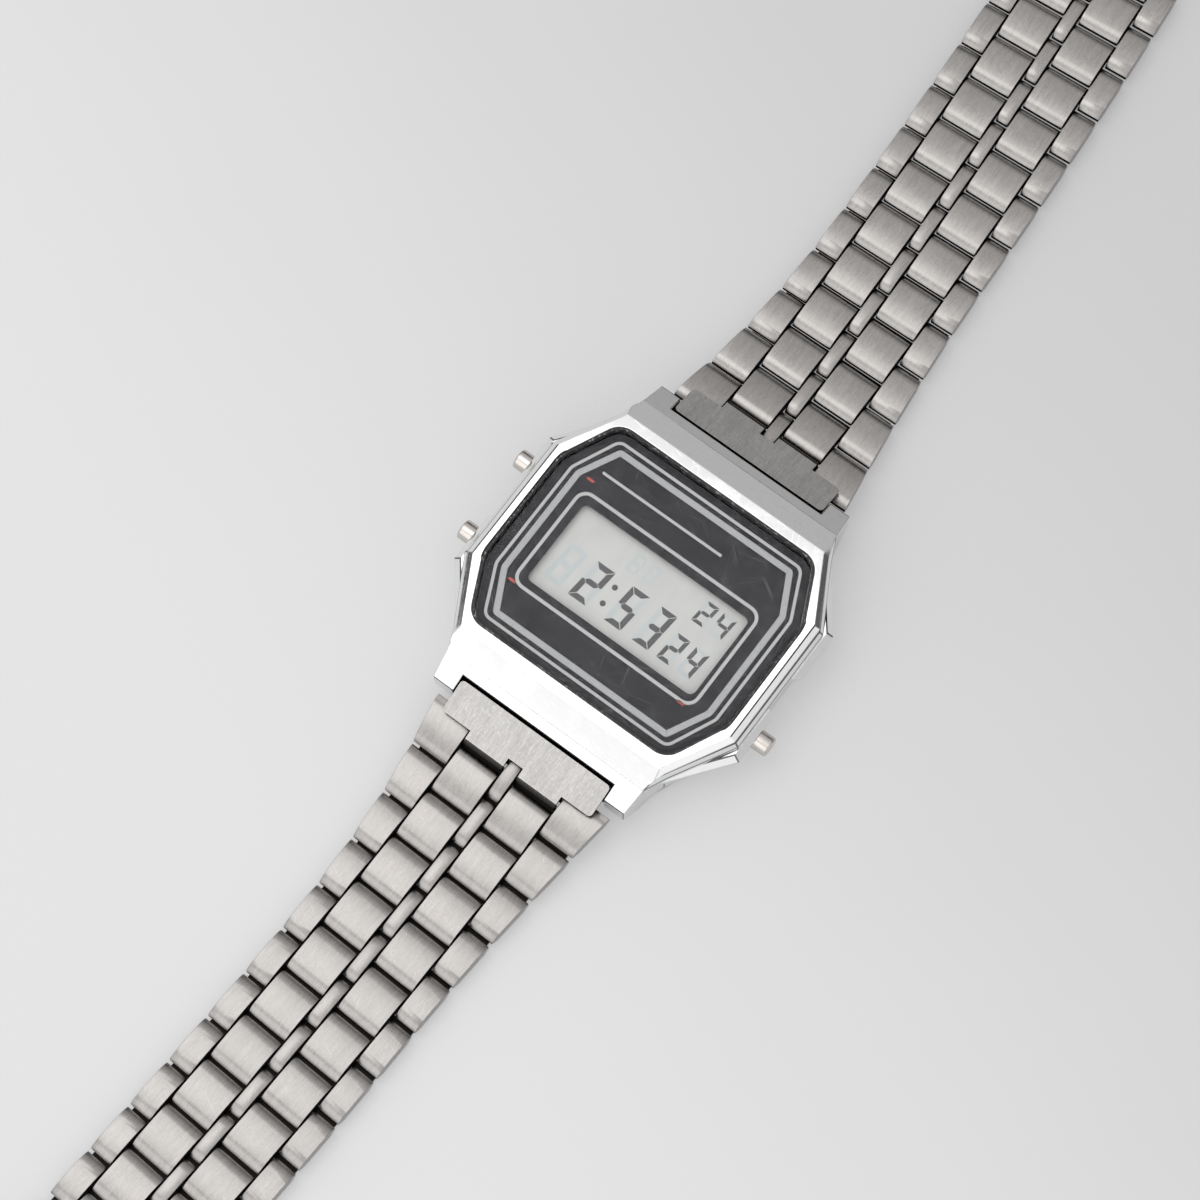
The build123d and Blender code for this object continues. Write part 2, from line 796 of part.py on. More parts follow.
def link(index):
    """One pitch of the bracelet about the pin at its near end.

    Outer and centre caps ride on one folded strip and the two wide caps on a second,
    half a pitch on. A pin joins the two strips and another stands at the far end.
    """
    begin = index * link_pitch
    first_pin = (0, pin_half(begin - row_start))
    middle_pin = (link_pitch / 2, pin_half(begin - row_start + link_pitch / 2))
    last_pin = (link_pitch, pin_half(begin - row_start + link_pitch))
    near = band_width(begin) / 2
    far = band_width(begin + cap_length) / 2
    outer = cap(outer_inner, near, far, row_start, (first_pin, middle_pin))
    centre = cap(-centre_width / 2, centre_width / 2, centre_width / 2, row_start, (first_pin, middle_pin))
    wide = cap(wide_inner, wide_outer, wide_outer, row_start + link_pitch / 2, (middle_pin, last_pin))
    wall = cap_side_wall + seat_gap
    caps = [outer, mirror(outer, about=Plane.YZ), centre, wide, mirror(wide, about=Plane.YZ)]
    row_a = both_sides(outer_inner + wall, far - wall, lambda a, b: knuckles(a, b, 0, link_pitch / 2))
    row_a += knuckles(wall - centre_width / 2, centre_width / 2 - wall, 0, link_pitch / 2)
    row_a += spine(link_pitch / 4, far - wall)
    row_a -= rod(pin_radius + running_gap, -near, near)
    row_a -= rod(pin_radius + seat_gap, -near, near, link_pitch / 2)
    row_b = both_sides(wide_inner + wall, wide_outer - wall,
                       lambda a, b: knuckles(a, b, link_pitch / 2, link_pitch))
    row_b += spine(3 * link_pitch / 4, band_width(begin + cap_length + link_pitch / 2) / 2 - wall)
    for y in (link_pitch / 2, link_pitch):
        row_b -= rod(pin_radius + seat_gap, -near, near, y)
    pins = [rod(pin_radius, -reach, reach, y) for y, reach in (middle_pin, last_pin)]
    return [*caps, row_a, row_b, *pins]


def spine(y, half):
    """The flat part of a folded strip that crosses under the caps."""
    return block((-half, y - spine_half, spine_low), (half, y + spine_half, spine_top))


def end_plate_profile(reach):
    """Side view of the end link's plate, with a rolled end."""
    low = end_plate_low
    edge = reach - end_tab_roll
    top = Polyline((edge, low), (-end_plate_back, low), (-end_plate_back, end_plate_top),
                   (edge, end_plate_top))
    roll = TangentArc((edge, end_plate_top), (reach, end_plate_top - end_tab_roll), tangent=(1, 0))
    under = reach - end_plate_thickness
    fall = Polyline((reach, end_plate_top - end_tab_roll), (reach, end_tab_low), (under, end_tab_low),
                    (under, end_plate_top - end_tab_roll))
    inner = TangentArc((edge, low), (under, end_plate_top - end_tab_roll), tangent=(1, 0))
    return make_face([*top.edges(), *roll.edges(), *fall.edges(), *inner.edges()])


def end_link():
    """End link about the spring bar: plate with two tabs, tube and arms, and its hinge pin."""
    low = end_plate_low
    plan = Rectangle(2 * end_plate_half, end_plate_shoulder + end_plate_back)
    plan = Pos(0, (end_plate_shoulder - end_plate_back) / 2) * fillet(plan.vertices(), end_corner_round)
    body = slab(plan, low, end_plate_top)
    tab = end_plate_profile(end_reach + end_tab_past)
    arm = Pos(end_reach / 2, 0) * SlotCenterToCenter(end_reach, 2 * knuckle_radius)
    clear = wide_inner + cap_side_wall
    for side in (-1, 1):
        span = sorted((side * wide_inner, side * wide_outer))
        slim = sorted((side * clear, side * (wide_outer - cap_side_wall)))
        body += side_slab(tab, *span) + side_slab(arm, *slim)
        body += block((slim[0], 0, 0), (slim[1], end_block_reach, low))
    body += rod(end_tube_radius, -end_plate_half, end_plate_half)
    body += block((-end_plate_half, -end_riser_reach, 0), (end_plate_half, end_riser_reach, low))
    body -= rod(bar_radius + running_gap, -end_plate_half - cut_over, end_plate_half + cut_over)
    reach = pin_half(-row_start)
    body -= rod(pin_radius + seat_gap, -reach, reach, end_reach)
    return [body, rod(pin_radius, -reach, reach, end_reach)]


def band_slopes(count):
    """Slope of each piece in degrees, so that the band comes down to the table."""
    shares = [*slope_shares, *[0] * (count + 1 - len(slope_shares))]
    reaches = [end_reach, *[link_pitch] * count]
    steepest = 1
    for _ in range(slope_rounds):
        drop = sum(r * sin(radians(steepest * s)) for r, s in zip(reaches, shares))
        steepest *= (bar_z - pin_line_z) / drop
    return [steepest * s for s in shares]


def band_frames(half, count, sway):
    """Place of the end link, of each link and of the clasp along one half of the bracelet."""
    slopes = [*band_slopes(count), 0]
    frame = half * Pos(0, bar_y, bar_z) * Rot(-slopes[0], 0, 0)
    frames = [frame]
    reach = end_reach
    for index in range(count + 1):
        frame = frame * Pos(0, reach, 0) * Rot(slopes[index] - slopes[index + 1], 0, 0) * Rot(0, 0, sway)
        frames.append(frame)
        reach = link_pitch
    return frames


def clasp_knuckles(reach):
    """Three loops round the last pin of the bracelet, between the wide caps' loops."""
    wall = cap_side_wall + seat_gap
    side = both_sides(outer_inner + wall, clasp_reach, lambda a, b: knuckles(a, b, 0, reach))
    return side + knuckles(wall - centre_width / 2, centre_width / 2 - wall, 0, reach)


def clasp_cover():
    """Outer shell of the clasp, hinged on the last link."""
    shell = block((-cover_half_width, cover_start, cover_low), (cover_half_width, cover_end, cover_top))
    shell = fillet(shell.edges().group_by(Axis.Z)[-1], cover_edge_round)
    ceiling = cover_top - cover_wall
    shell -= block((-cover_inside, cover_start - cut_over, cover_low - cut_over),
                   (cover_inside, cover_end + cut_over, ceiling))
    shell += block((-clasp_reach, cover_start, 0), (clasp_reach, cover_start + 2 * knuckle_radius, ceiling))
    shell += clasp_knuckles(cover_start)
    shell -= rod(pin_radius + running_gap, -cover_half_width, cover_half_width)
    return shell - rod(leaf_pin_radius + seat_gap, -leaf_pin_half - seat_gap, leaf_pin_half + seat_gap,
                       leaf_pin_y, leaf_pin_z)


def clasp_pin():
    """Hinge pin of the folding leaf."""
    return rod(leaf_pin_radius, -leaf_pin_half, leaf_pin_half, leaf_pin_y, leaf_pin_z)


def clasp_leaf():
    """Folding leaf inside the cover, with a hook at its free end."""
    high = leaf_pin_z + leaf_knuckle
    low = high - leaf_thickness
    leaf = block((-leaf_half_width, leaf_free_y, low), (leaf_half_width, leaf_pin_y, high))
    leaf += rod(leaf_knuckle, -leaf_half_width, leaf_half_width, leaf_pin_y, leaf_pin_z)
    hook_half = leaf_half_width / 2
    foot = high - hook_drop
    leaf += block((-hook_half, leaf_free_y, foot), (hook_half, leaf_free_y + hook_wall, high))
    leaf += block((-hook_half, leaf_free_y, foot - hook_wall / 2), (hook_half, leaf_free_y + hook_lip, foot))
    middle = (leaf_free_y + leaf_pin_y) / 2
    slot = SlotCenterToCenter(leaf_slot_length, leaf_slot_width, rotation=90)
    for side in (-1, 1):
        leaf -= slab(Pos(side * leaf_half_width / 2, middle) * slot, low - cut_over, high + cut_over)
    bore = rod(leaf_pin_radius + running_gap, -leaf_half_width, leaf_half_width, leaf_pin_y, leaf_pin_z)
    return leaf - bore


def catch_link():
    """End piece of the 12 o'clock half, with ears for the catch bar."""
    half = catch_plate_thickness / 2
    piece = clasp_knuckles(2 * knuckle_radius)
    piece += block((-clasp_reach, 2 * knuckle_radius, -half), (clasp_reach, catch_plate_end, half))
    ear = Pos((catch_plate_end + catch_length) / 2, 0) * SlotCenterToCenter(
        catch_length - catch_plate_end, 2 * knuckle_radius)
    piece += both_sides(clasp_reach - catch_ear_width, clasp_reach, lambda a, b: side_slab(ear, a, b))
    piece -= rod(pin_radius + running_gap, -clasp_reach, clasp_reach)
    return piece - rod(catch_bar_radius, seat_gap - clasp_reach, clasp_reach - seat_gap, catch_length)


def catch_bar():
    """Bar that the leaf's hook takes hold of."""
    return rod(catch_bar_radius, seat_gap - clasp_reach, clasp_reach - seat_gap, catch_length)


def write(name, pieces):
    """Write one node, a single solid or a group of separate solids."""
    solids = pieces if isinstance(pieces, list) else [pieces]
    solids = [s for piece in solids for s in piece.solids()]
    shape = solids[0] if len(solids) == 1 else Compound(children=solids)
    export_step(shape, f"parts/{name}.step")


def write_case():
    """Write every node of the case and its module."""
    for make in (case_shell, lens, lens_gasket, dial_panel, display_glass, display_reflector,
                 light_guide, contact_strips, module_frame, circuit_board, control_chip, quartz_can,
                 backlight_lamp, battery, battery_clamp, module_cover, piezo_disc, piezo_spring,
                 case_back, back_gasket, back_screws, button_seals, spring_bars):
        write(make.__name__, make())
    for name, (side, y) in button_places().items():
        write(name, [on_side(piece, side, y) for piece in button()])
        write(f"{name}_spring", on_side(button_spring(), side, y))


def write_band(hour, count, sway):
    """Write one half of the bracelet and return the place of its clasp."""
    frames = band_frames(half_turns[hour], count, sway)
    write(f"end_link_{hour}", [frames[0] * piece for piece in end_link()])
    for index in range(count):
        write(f"link_{hour}_{index + 1:02d}", [frames[index + 1] * piece for piece in link(index)])
    return frames[-1]


def main():
    """Write all nodes."""
    os.makedirs("parts", exist_ok=True)
    write_case()
    far_12 = write_band("12", links_12, sway_per_link)
    far_6 = write_band("6", links_6, -sway_per_link)
    write("catch_link", far_12 * catch_link())
    write("catch_bar", far_12 * catch_bar())
    write("clasp_cover", far_6 * clasp_cover())
    write("clasp_leaf", far_6 * clasp_leaf())
    write("clasp_pin", far_6 * clasp_pin())


main()
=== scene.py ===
"""Looks of a digital wristwatch with a chromed case and a folded-link steel bracelet.

Sizes are millimetres and angles degrees in the classes; a mesh becomes metres when it is finished.
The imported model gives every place; nothing here moves it.
"""
import json
import logging
from abc import ABC, abstractmethod
from dataclasses import dataclass, field
from enum import Enum
from functools import reduce
from math import atan2, cos, pi, radians, sin, tan
from typing import Callable, Iterable, Sequence, Union

import bmesh
import bpy
from mathutils import Matrix, Vector


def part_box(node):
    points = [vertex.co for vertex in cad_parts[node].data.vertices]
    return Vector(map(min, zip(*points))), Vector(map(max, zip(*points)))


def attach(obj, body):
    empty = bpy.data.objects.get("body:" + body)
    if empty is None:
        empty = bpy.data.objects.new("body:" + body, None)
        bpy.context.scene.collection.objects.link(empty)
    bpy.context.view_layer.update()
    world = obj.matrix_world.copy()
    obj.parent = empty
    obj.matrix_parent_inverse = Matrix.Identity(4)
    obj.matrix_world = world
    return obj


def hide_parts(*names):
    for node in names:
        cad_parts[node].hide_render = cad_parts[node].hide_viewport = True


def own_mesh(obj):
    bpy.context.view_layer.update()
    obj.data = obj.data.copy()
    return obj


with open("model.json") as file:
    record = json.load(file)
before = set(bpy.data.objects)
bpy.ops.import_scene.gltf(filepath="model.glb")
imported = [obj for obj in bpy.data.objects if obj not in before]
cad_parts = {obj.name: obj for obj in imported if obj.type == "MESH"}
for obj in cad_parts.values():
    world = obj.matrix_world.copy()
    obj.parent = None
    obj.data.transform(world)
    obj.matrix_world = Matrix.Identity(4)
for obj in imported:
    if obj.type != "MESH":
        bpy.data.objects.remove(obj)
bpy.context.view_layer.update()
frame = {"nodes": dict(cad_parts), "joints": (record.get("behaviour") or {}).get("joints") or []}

MM = 0.001
ARC_STEP = 12.0

Point = tuple[float, float]
Place = tuple[float, float, float]
Colour = tuple[float, float, float]
Rate = Union[float, tuple[float, float, float]]
Number = Union[float, "Value"]
Owner = Union[bpy.types.Material, bpy.types.World]

log = logging.getLogger("watch")


class Coordinates(Enum):
    """Where a pattern takes its place from."""

    OBJECT = "Object"
    GRAIN = "grain"


class Facing(Enum):
    """Plane in which an outline is drawn before it is drawn out."""

    UP = "z"
    SIDE = "x"


class Value:
    """A shader number or vector, on which Python sums build nodes."""

    def __init__(self, recipe: "Recipe", socket: bpy.types.NodeSocket | None) -> None:
        """Wrap one output socket.

        Args:
            recipe: The nodes that the socket belongs to.
            socket: The output that carries the number.
        """
        self.recipe = recipe
        self.socket = socket

    def _math(self, operation: str, *numbers: Number) -> "Value":
        """Add one Math node.

        Args:
            operation: Name of the node's operation.
            numbers: Its inputs, in order.

        Returns:
            The node's result.
        """
        return self.recipe.node("ShaderNodeMath", {"operation": operation}, dict(enumerate(numbers)))

    def __add__(self, other: Number) -> "Value":
        """Sum."""
        return self._math("ADD", self, other)

    def __radd__(self, other: Number) -> "Value":
        """Sum, reflected."""
        return self._math("ADD", other, self)

    def __sub__(self, other: Number) -> "Value":
        """Difference."""
        return self._math("SUBTRACT", self, other)

    def __rsub__(self, other: Number) -> "Value":
        """Difference, reflected."""
        return self._math("SUBTRACT", other, self)

    def __mul__(self, other: Number) -> "Value":
        """Product."""
        return self._math("MULTIPLY", self, other)

    def __rmul__(self, other: Number) -> "Value":
        """Product, reflected."""
        return self._math("MULTIPLY", other, self)

    def __pow__(self, other: Number) -> "Value":
        """Power."""
        return self._math("POWER", self, other)

    def __rpow__(self, other: Number) -> "Value":
        """Power, reflected."""
        return self._math("POWER", other, self)

    def larger(self, other: Number) -> "Value":
        """The larger of two numbers."""
        return self._math("MAXIMUM", self, other)

    def swing(self, width: float) -> "Value":
        """The number's rise and fall about a half, made this wide."""
        return (self - 0.5) * width

    def between(self, low: float, high: float) -> "Value":
        """How far the number has risen from low to high, from 0 to 1."""
        return self.recipe.node("ShaderNodeMapRange", {"interpolation_type": "SMOOTHSTEP"},
                                {"Value": self, "From Min": low, "From Max": high})


class Recipe:
    """The nodes of one material or of the surround.

    Hairlines are a noise with hair_rate spots per millimetre, and fade out within hair_fade of its height.
    """

    hair_rate: Rate = (0.16, 9.0, 9.0)
    hair_fade = 0.03
    crevice_samples = 12
    round_samples = 4

    def __init__(self, owner: Owner) -> None:
        """Start with an empty tree.

        Args:
            owner: The material or world that the nodes belong to.
        """
        self.owner = owner
        owner.use_nodes = True
        self.tree = owner.node_tree
        self.tree.nodes.clear()

    @classmethod
    def material(cls, name: str) -> "Recipe":
        """Start a new material."""
        return cls(bpy.data.materials.new(name))

    def node(self, kind: str, settings: dict | None = None, inputs: dict | None = None,
             output: int | str = 0) -> Value:
        """Add any node.

        Args:
            kind: Node type.
            settings: Its own settings, set before its sockets.
            inputs: Socket names or numbers with values or links.
            output: Which output to hand back.

        Returns:
            The chosen output, which is empty for a node that ends the tree.
        """
        made = self.tree.nodes.new(kind)
        for key, value in (settings or {}).items():
            setattr(made, key, value)
        for key, value in (inputs or {}).items():
            socket = made.inputs[key]
            if isinstance(value, Value):
                self.tree.links.new(value.socket, socket)
            elif socket.type == "RGBA" and len(value) == 3:
                socket.default_value = (*value, 1.0)
            else:
                socket.default_value = value
        return Value(self, made.outputs[output] if len(made.outputs) else None)

    def place(self, source: Coordinates, stretch: Sequence[float], turn: float = 0.0) -> Value:
        """Coordinates of the surface in units per millimetre.

        Args:
            source: The piece's own object coordinates, or the grain attribute in millimetres.
            stretch: Units per millimetre on each axis.
            turn: Turn about Z, made before the stretch.

        Returns:
            The vector.
        """
        if source is Coordinates.OBJECT:
            base = self.node("ShaderNodeTexCoord", output=source.value)
            unit = 1 / MM
        else:
            base = self.node("ShaderNodeAttribute", {"attribute_name": source.value}, output="Vector")
            unit = 1.0
        if turn:
            base = self.node("ShaderNodeMapping", {"vector_type": "POINT"},
                             {"Vector": base, "Rotation": (0, 0, radians(turn))})
        return self.node("ShaderNodeMapping", {"vector_type": "POINT"},
                         {"Vector": base, "Scale": tuple(unit * s for s in stretch)})

    def noise(self, rate: Rate, detail: float = 2.0, roughness: float = 0.5, turn: float = 0.0,
              source: Coordinates = Coordinates.OBJECT) -> Value:
        """Smooth noise from 0 to 1.

        Args:
            rate: Spots per millimetre, alike on all axes or one number for each.
            detail: Finer layers.
            roughness: Weight of the finer layers.
            turn: Turn of the pattern about Z.
            source: Where the pattern takes its place from.

        Returns:
            The noise.
        """
        rates = rate if isinstance(rate, tuple) else (rate,) * 3
        return self.node("ShaderNodeTexNoise", {"noise_dimensions": "3D"},
                         {"Vector": self.place(source, rates, turn), "Scale": 1.0, "Detail": detail,
                          "Roughness": roughness})

    def scratches(self, turns: Sequence[float], share: float,
                  source: Coordinates = Coordinates.OBJECT) -> Value:
        """Sparse hairlines at several angles, each the crests of a noise drawn out along one way.

        Args:
            turns: Angles of the hairlines.
            share: Height of the noise above which a line shows.
            source: Where the pattern takes its place from.

        Returns:
            1 on a hairline, 0 elsewhere.
        """
        hairs = [self.noise(self.hair_rate, detail=1.0, turn=turn, source=source) for turn in turns]
        return reduce(Value.larger, [hair.between(share, share + self.hair_fade) for hair in hairs])

    def crevice_shade(self, reach: float, shares: Point) -> Value:
        """Painted shade where close walls would shade each other, found by ambient occlusion.

        Args:
            reach: Distance within which walls shade each other.
            shares: Openness below which the surface is dark, and above which it is clean.

        Returns:
            1 deep in a gap, 0 in the open.
        """
        light = self.node("ShaderNodeAmbientOcclusion", {"samples": self.crevice_samples},
                          {"Distance": reach * MM}, output="AO")
        return 1.0 - light.between(*shares)

    def bump(self, height: Value, depth: float, edge: float = 0.0) -> Value:
        """Normal from a height.

        Args:
            height: Height from 0 to 1.
            depth: How far apart 0 and 1 lie.
            edge: Radius to which crisp edges are worn round.

        Returns:
            The normal.
        """
        inputs = {"Strength": 1.0, "Distance": depth * MM, "Height": height}
        if edge:
            inputs["Normal"] = self.node("ShaderNodeBevel", {"samples": self.round_samples},
                                         {"Radius": edge * MM})
        return self.node("ShaderNodeBump", None, inputs)

    def blend(self, factor: Value, low: Union[Colour, Value], high: Union[Colour, Value]) -> Value:
        """Colour that goes from one to another with a factor."""
        return self.node("ShaderNodeMix", {"data_type": "RGBA"}, {0: factor, 6: low, 7: high}, output=2)

    def mottle(self, colour: Colour, shares: Point, mask: Value) -> Value:
        """A colour that is darker and lighter from place to place.

        Args:
            colour: The colour.
            shares: Its darkest and lightest tone as shares of it.
            mask: 0 where it is darkest, 1 where it is lightest.

        Returns:
            The tone.
        """
        low, high = (tuple(min(1.0, c * share) for c in colour) for share in shares)
        return self.blend(mask, low, high)

    def principled(self, tone: Union[Colour, Value], rough: Number, normal: Value | None = None,
                   metallic: float = 0.0, specular: float = 0.5) -> Value:
        """A Principled shader.

        Args:
            tone: Its colour.
            rough: Its roughness.
            normal: Its normal, if the surface isn't smooth.
            metallic: 1 for metal.
            specular: Level of the reflection of what isn't metal.

        Returns:
            The shader.
        """
        inputs = {"Base Color": tone, "Roughness": rough, "Metallic": metallic,
                  "Specular IOR Level": specular}
        if normal is not None:
            inputs["Normal"] = normal
        return self.node("ShaderNodeBsdfPrincipled", None, inputs)

    def layers(self, share: Value, under: Value, over: Value) -> Value:
        """One shader over another, by a share."""
        return self.node("ShaderNodeMixShader", None, {0: share, 1: under, 2: over})

    def end(self, shader: Value, output: str = "ShaderNodeOutputMaterial") -> Owner:
        """End the tree with a shader.

        Args:
            shader: The shader.
            output: Node type of the output.

        Returns:
            The material or world.
        """
        self.node(output, None, {"Surface": shader})
        return self.owner


@dataclass(frozen=True)
class Finish(ABC):
    """A finish, from whose fields its material is made. Rates are spots per millimetre."""

    name: str

    @abstractmethod
    def build(self) -> bpy.types.Material:
        """Make the material."""


@dataclass(frozen=True)
class BrushedSteel(Finish):
    """Steel with a grain along Y, darker and lighter streaks, a few scratches and painted shade in its gaps.
    """

    colour: Colour = (0.385, 0.368, 0.355)
    roughness: float = 0.30
    streak: float = 0.36
    source: Coordinates = Coordinates.OBJECT
    turn: float = 0.0
    scratch: float = 0.15
    shade_shares: Point = (0.2, 0.62)
    depth: float = 0.0014
    fine_rate: Rate = (9.0, 0.9, 1.6)
    broad_rate: Rate = (2.4, 0.12, 0.5)
    fleck_rate: Rate = 3.6
    cloud_rate: Rate = (0.30, 0.22, 0.30)
    tone_span: Point = (0.33, 0.67)
    hair_turns: tuple[float, ...] = (24.0, 101.0, 67.0)
    hair_share: float = 0.71
    hair_colour: Colour = (0.80, 0.80, 0.79)
    # Painted shade: within this reach of close walls the steel is blended towards a near-black colour, by
    # the shares of openness.
    shade_reach: float = 1.2
    shade_colour: Colour = (0.012, 0.011, 0.010)

    def build(self) -> bpy.types.Material:
        """Make the material.

        Returns:
            The finished material.
        """
        make = Recipe.material(self.name)
        fine = make.noise(self.fine_rate, roughness=0.7, turn=self.turn, source=self.source)
        broad = make.noise(self.broad_rate, turn=self.turn, source=self.source)
        fleck = make.noise(self.fleck_rate, roughness=0.7, source=self.source)
        cloud = make.noise(self.cloud_rate, detail=3.0, source=self.source)
        hair = make.scratches(self.hair_turns, self.hair_share, self.source)
        streak = fine * 0.5 + broad * 0.25 + fleck * 0.25
        shares = (1 - 0.5 * self.streak, 1 + 0.3 * self.streak)
        tone = make.mottle(self.colour, shares, (streak * 0.85 + cloud * 0.15).between(*self.tone_span))
        tone = make.blend(hair * self.scratch, tone, self.hair_colour)
        # Painted shade: the steel goes towards near black deep in gaps between parts.
        tone = make.blend(make.crevice_shade(self.shade_reach, self.shade_shares), tone, self.shade_colour)
        rough = self.roughness + streak.swing(0.25) + cloud.swing(0.16)
        normal = make.bump(fine * 0.2 + broad, self.depth)
        return make.end(make.principled(tone, rough, normal, metallic=1.0))


@dataclass(frozen=True)
class Chrome(Finish):
    """Bright plating with faint smudges, pits and hairlines, and painted shade in its grooves."""

    colour: Colour = (0.87, 0.875, 0.87)
    roughness: float = 0.055
    wear: float = 1.0
    edge: float = 0.14
    depth: float = 0.0008
    cloud_rate: Rate = 0.35
    smudge_span: Point = (0.45, 0.75)
    pit_rate: Rate = 9.0
    pit_span: Point = (0.74, 0.8)
    hair_turns: tuple[float, ...] = (12.0, 64.0, 118.0)
    hair_share: float = 0.70
    worn_colour: Colour = (0.45, 0.45, 0.45)
    # Painted shade: within this reach of close walls the plating is blended towards near black.
    shade_reach: float = 0.5
    shade_shares: Point = (0.3, 0.62)
    shade_colour: Colour = (0.03, 0.03, 0.03)

    def build(self) -> bpy.types.Material:
        """Make the material.

        Returns:
            The finished material.
        """
        make = Recipe.material(self.name)
        smudge = make.noise(self.cloud_rate, detail=4.0, roughness=0.6).between(*self.smudge_span)
        pits = make.noise(self.pit_rate, detail=1.0).between(*self.pit_span)
        hair = make.scratches(self.hair_turns, self.hair_share)
        tone = make.blend((hair * 0.5 + pits * 0.6) * (0.3 * self.wear), self.colour, self.worn_colour)
        # Painted shade: the plating goes towards near black in grooves and between parts.
        tone = make.blend(make.crevice_shade(self.shade_reach, self.shade_shares), tone, self.shade_colour)
        rough = self.roughness + (smudge * 0.05 + hair * 0.12 + pits * 0.1) * self.wear
        normal = make.bump(hair + pits, self.depth * self.wear, self.edge)
        return make.end(make.principled(tone, rough, normal, metallic=1.0))


@dataclass(frozen=True)
class Moulding(Finish):
    """Moulded plastic or rubber with a fine grained skin, bare or with light flecks lying on it, which on
    the gasket are partly dust and partly painted glints.
    """

    colour: Colour
    roughness: float = 0.5
    grain_rate: Rate = 6.0
    specular: float = 0.5
    dust: float = 0.0
    depth: float = 0.006
    cloud_rate: Rate = 0.5
    tone_shares: Point = (0.82, 1.12)
    tone_span: Point = (0.35, 0.65)
    dust_rate: Rate = 3.2
    dust_span: Point = (0.58, 0.64)
    dust_colour: Colour = (0.42, 0.42, 0.41)

    def build(self) -> bpy.types.Material:
        """Make the material.

        Returns:
            The finished material.
        """
        make = Recipe.material(self.name)
        skin = make.noise(self.grain_rate, detail=3.0, roughness=0.6)
        cloud = make.noise(self.cloud_rate, detail=3.0)
        mask = (skin * 0.4 + cloud * 0.6).between(*self.tone_span)
        tone = make.mottle(self.colour, self.tone_shares, mask)
        # Light flecks: partly dust, partly painted glints along the lens gap.
        if self.dust:
            fleck = make.noise(self.dust_rate, roughness=0.7)
            tone = make.blend(fleck.between(*self.dust_span) * self.dust, tone, self.dust_colour)
        rough = self.roughness + skin.swing(0.2) + cloud.swing(0.15)
        return make.end(make.principled(tone, rough, make.bump(skin, self.depth), specular=self.specular))


@dataclass(frozen=True)
class PrintedPanel(Finish):
    """Dark satin panel with dust and hairline scratches."""

    colour: Colour = (0.022, 0.0215, 0.025)
    roughness: float = 0.42
    specular: float = 0.1
    depth: float = 0.002
    dust_rate: Rate = 5.5
    dust_span: Point = (0.73, 0.77)
    dust_colour: Colour = (0.32, 0.31, 0.30)
    cloud_rate: Rate = 0.5
    weave_rate: Rate = (7.0, 2.5, 7.0)
    weave_turn: float = 31.0
    tone_shares: Point = (1.0, 1.8)
    tone_span: Point = (0.36, 0.66)
    hair_turns: tuple[float, ...] = (38.0, 79.0, 141.0)
    hair_share: float = 0.69

    def build(self) -> bpy.types.Material:
        """Make the material.

        Returns:
            The finished material.
        """
        make = Recipe.material(self.name)
        dust = make.noise(self.dust_rate, detail=1.5).between(*self.dust_span)
        cloud = make.noise(self.cloud_rate, detail=4.0)
        weave = make.noise(self.weave_rate, roughness=0.7, turn=self.weave_turn)
        hair = make.scratches(self.hair_turns, self.hair_share)
        mask = (cloud * 0.4 + weave * 0.6).between(*self.tone_span)
        tone = make.mottle(self.colour, self.tone_shares, mask)
        tone = make.blend(dust * 0.45 + hair * 0.2, tone, self.dust_colour)
        rough = self.roughness + cloud.swing(0.2) + dust * 0.2
        normal = make.bump(weave * 0.6 + hair, self.depth)
        return make.end(make.principled(tone, rough, normal, specular=self.specular))


@dataclass(frozen=True)
class Ink(Finish):
    """Screen-printed ink with a halftone grain."""

    colour: Colour
    grain: float = 0.15
    roughness: float = 0.5
    depth: float = 0.002
    dot_rate: Rate = 11.0
    tone_span: Point = (0.36, 0.64)

    def build(self) -> bpy.types.Material:
        """Make the material.

        Returns:
            The finished material.
        """
        make = Recipe.material(self.name)
        dots = make.noise(self.dot_rate, detail=3.0, roughness=0.7)
        tone = make.mottle(self.colour, (1 - self.grain, 1 + self.grain), dots.between(*self.tone_span))
        return make.end(make.principled(tone, self.roughness + dots.swing(0.2), make.bump(dots, self.depth)))


@dataclass(frozen=True)
class Cell(Finish):
    """Pale face of the liquid crystal cell, with the faint stripes of its electrodes."""

    colour: Colour = (0.605, 0.612, 0.595)
    roughness: float = 0.38
    depth: float = 0.001
    fleck_rate: Rate = 7.0
    cloud_rate: Rate = (0.22, 0.3, 0.3)
    trace_rate: Rate = (2.2, 0.25, 2.2)
    tone_shares: Point = (0.955, 1.03)
    tone_span: Point = (0.38, 0.62)

    def build(self) -> bpy.types.Material:
        """Make the material.

        Returns:
            The finished material.
        """
        make = Recipe.material(self.name)
        fleck = make.noise(self.fleck_rate, detail=3.0, roughness=0.7)
        cloud = make.noise(self.cloud_rate, detail=3.0)
        trace = make.noise(self.trace_rate, detail=1.0)
        mask = fleck * 0.25 + cloud * 0.5 + trace * 0.25
        tone = make.mottle(self.colour, self.tone_shares, mask.between(*self.tone_span))
        rough = self.roughness + fleck.swing(0.12)
        return make.end(make.principled(tone, rough, make.bump(fleck, self.depth)))


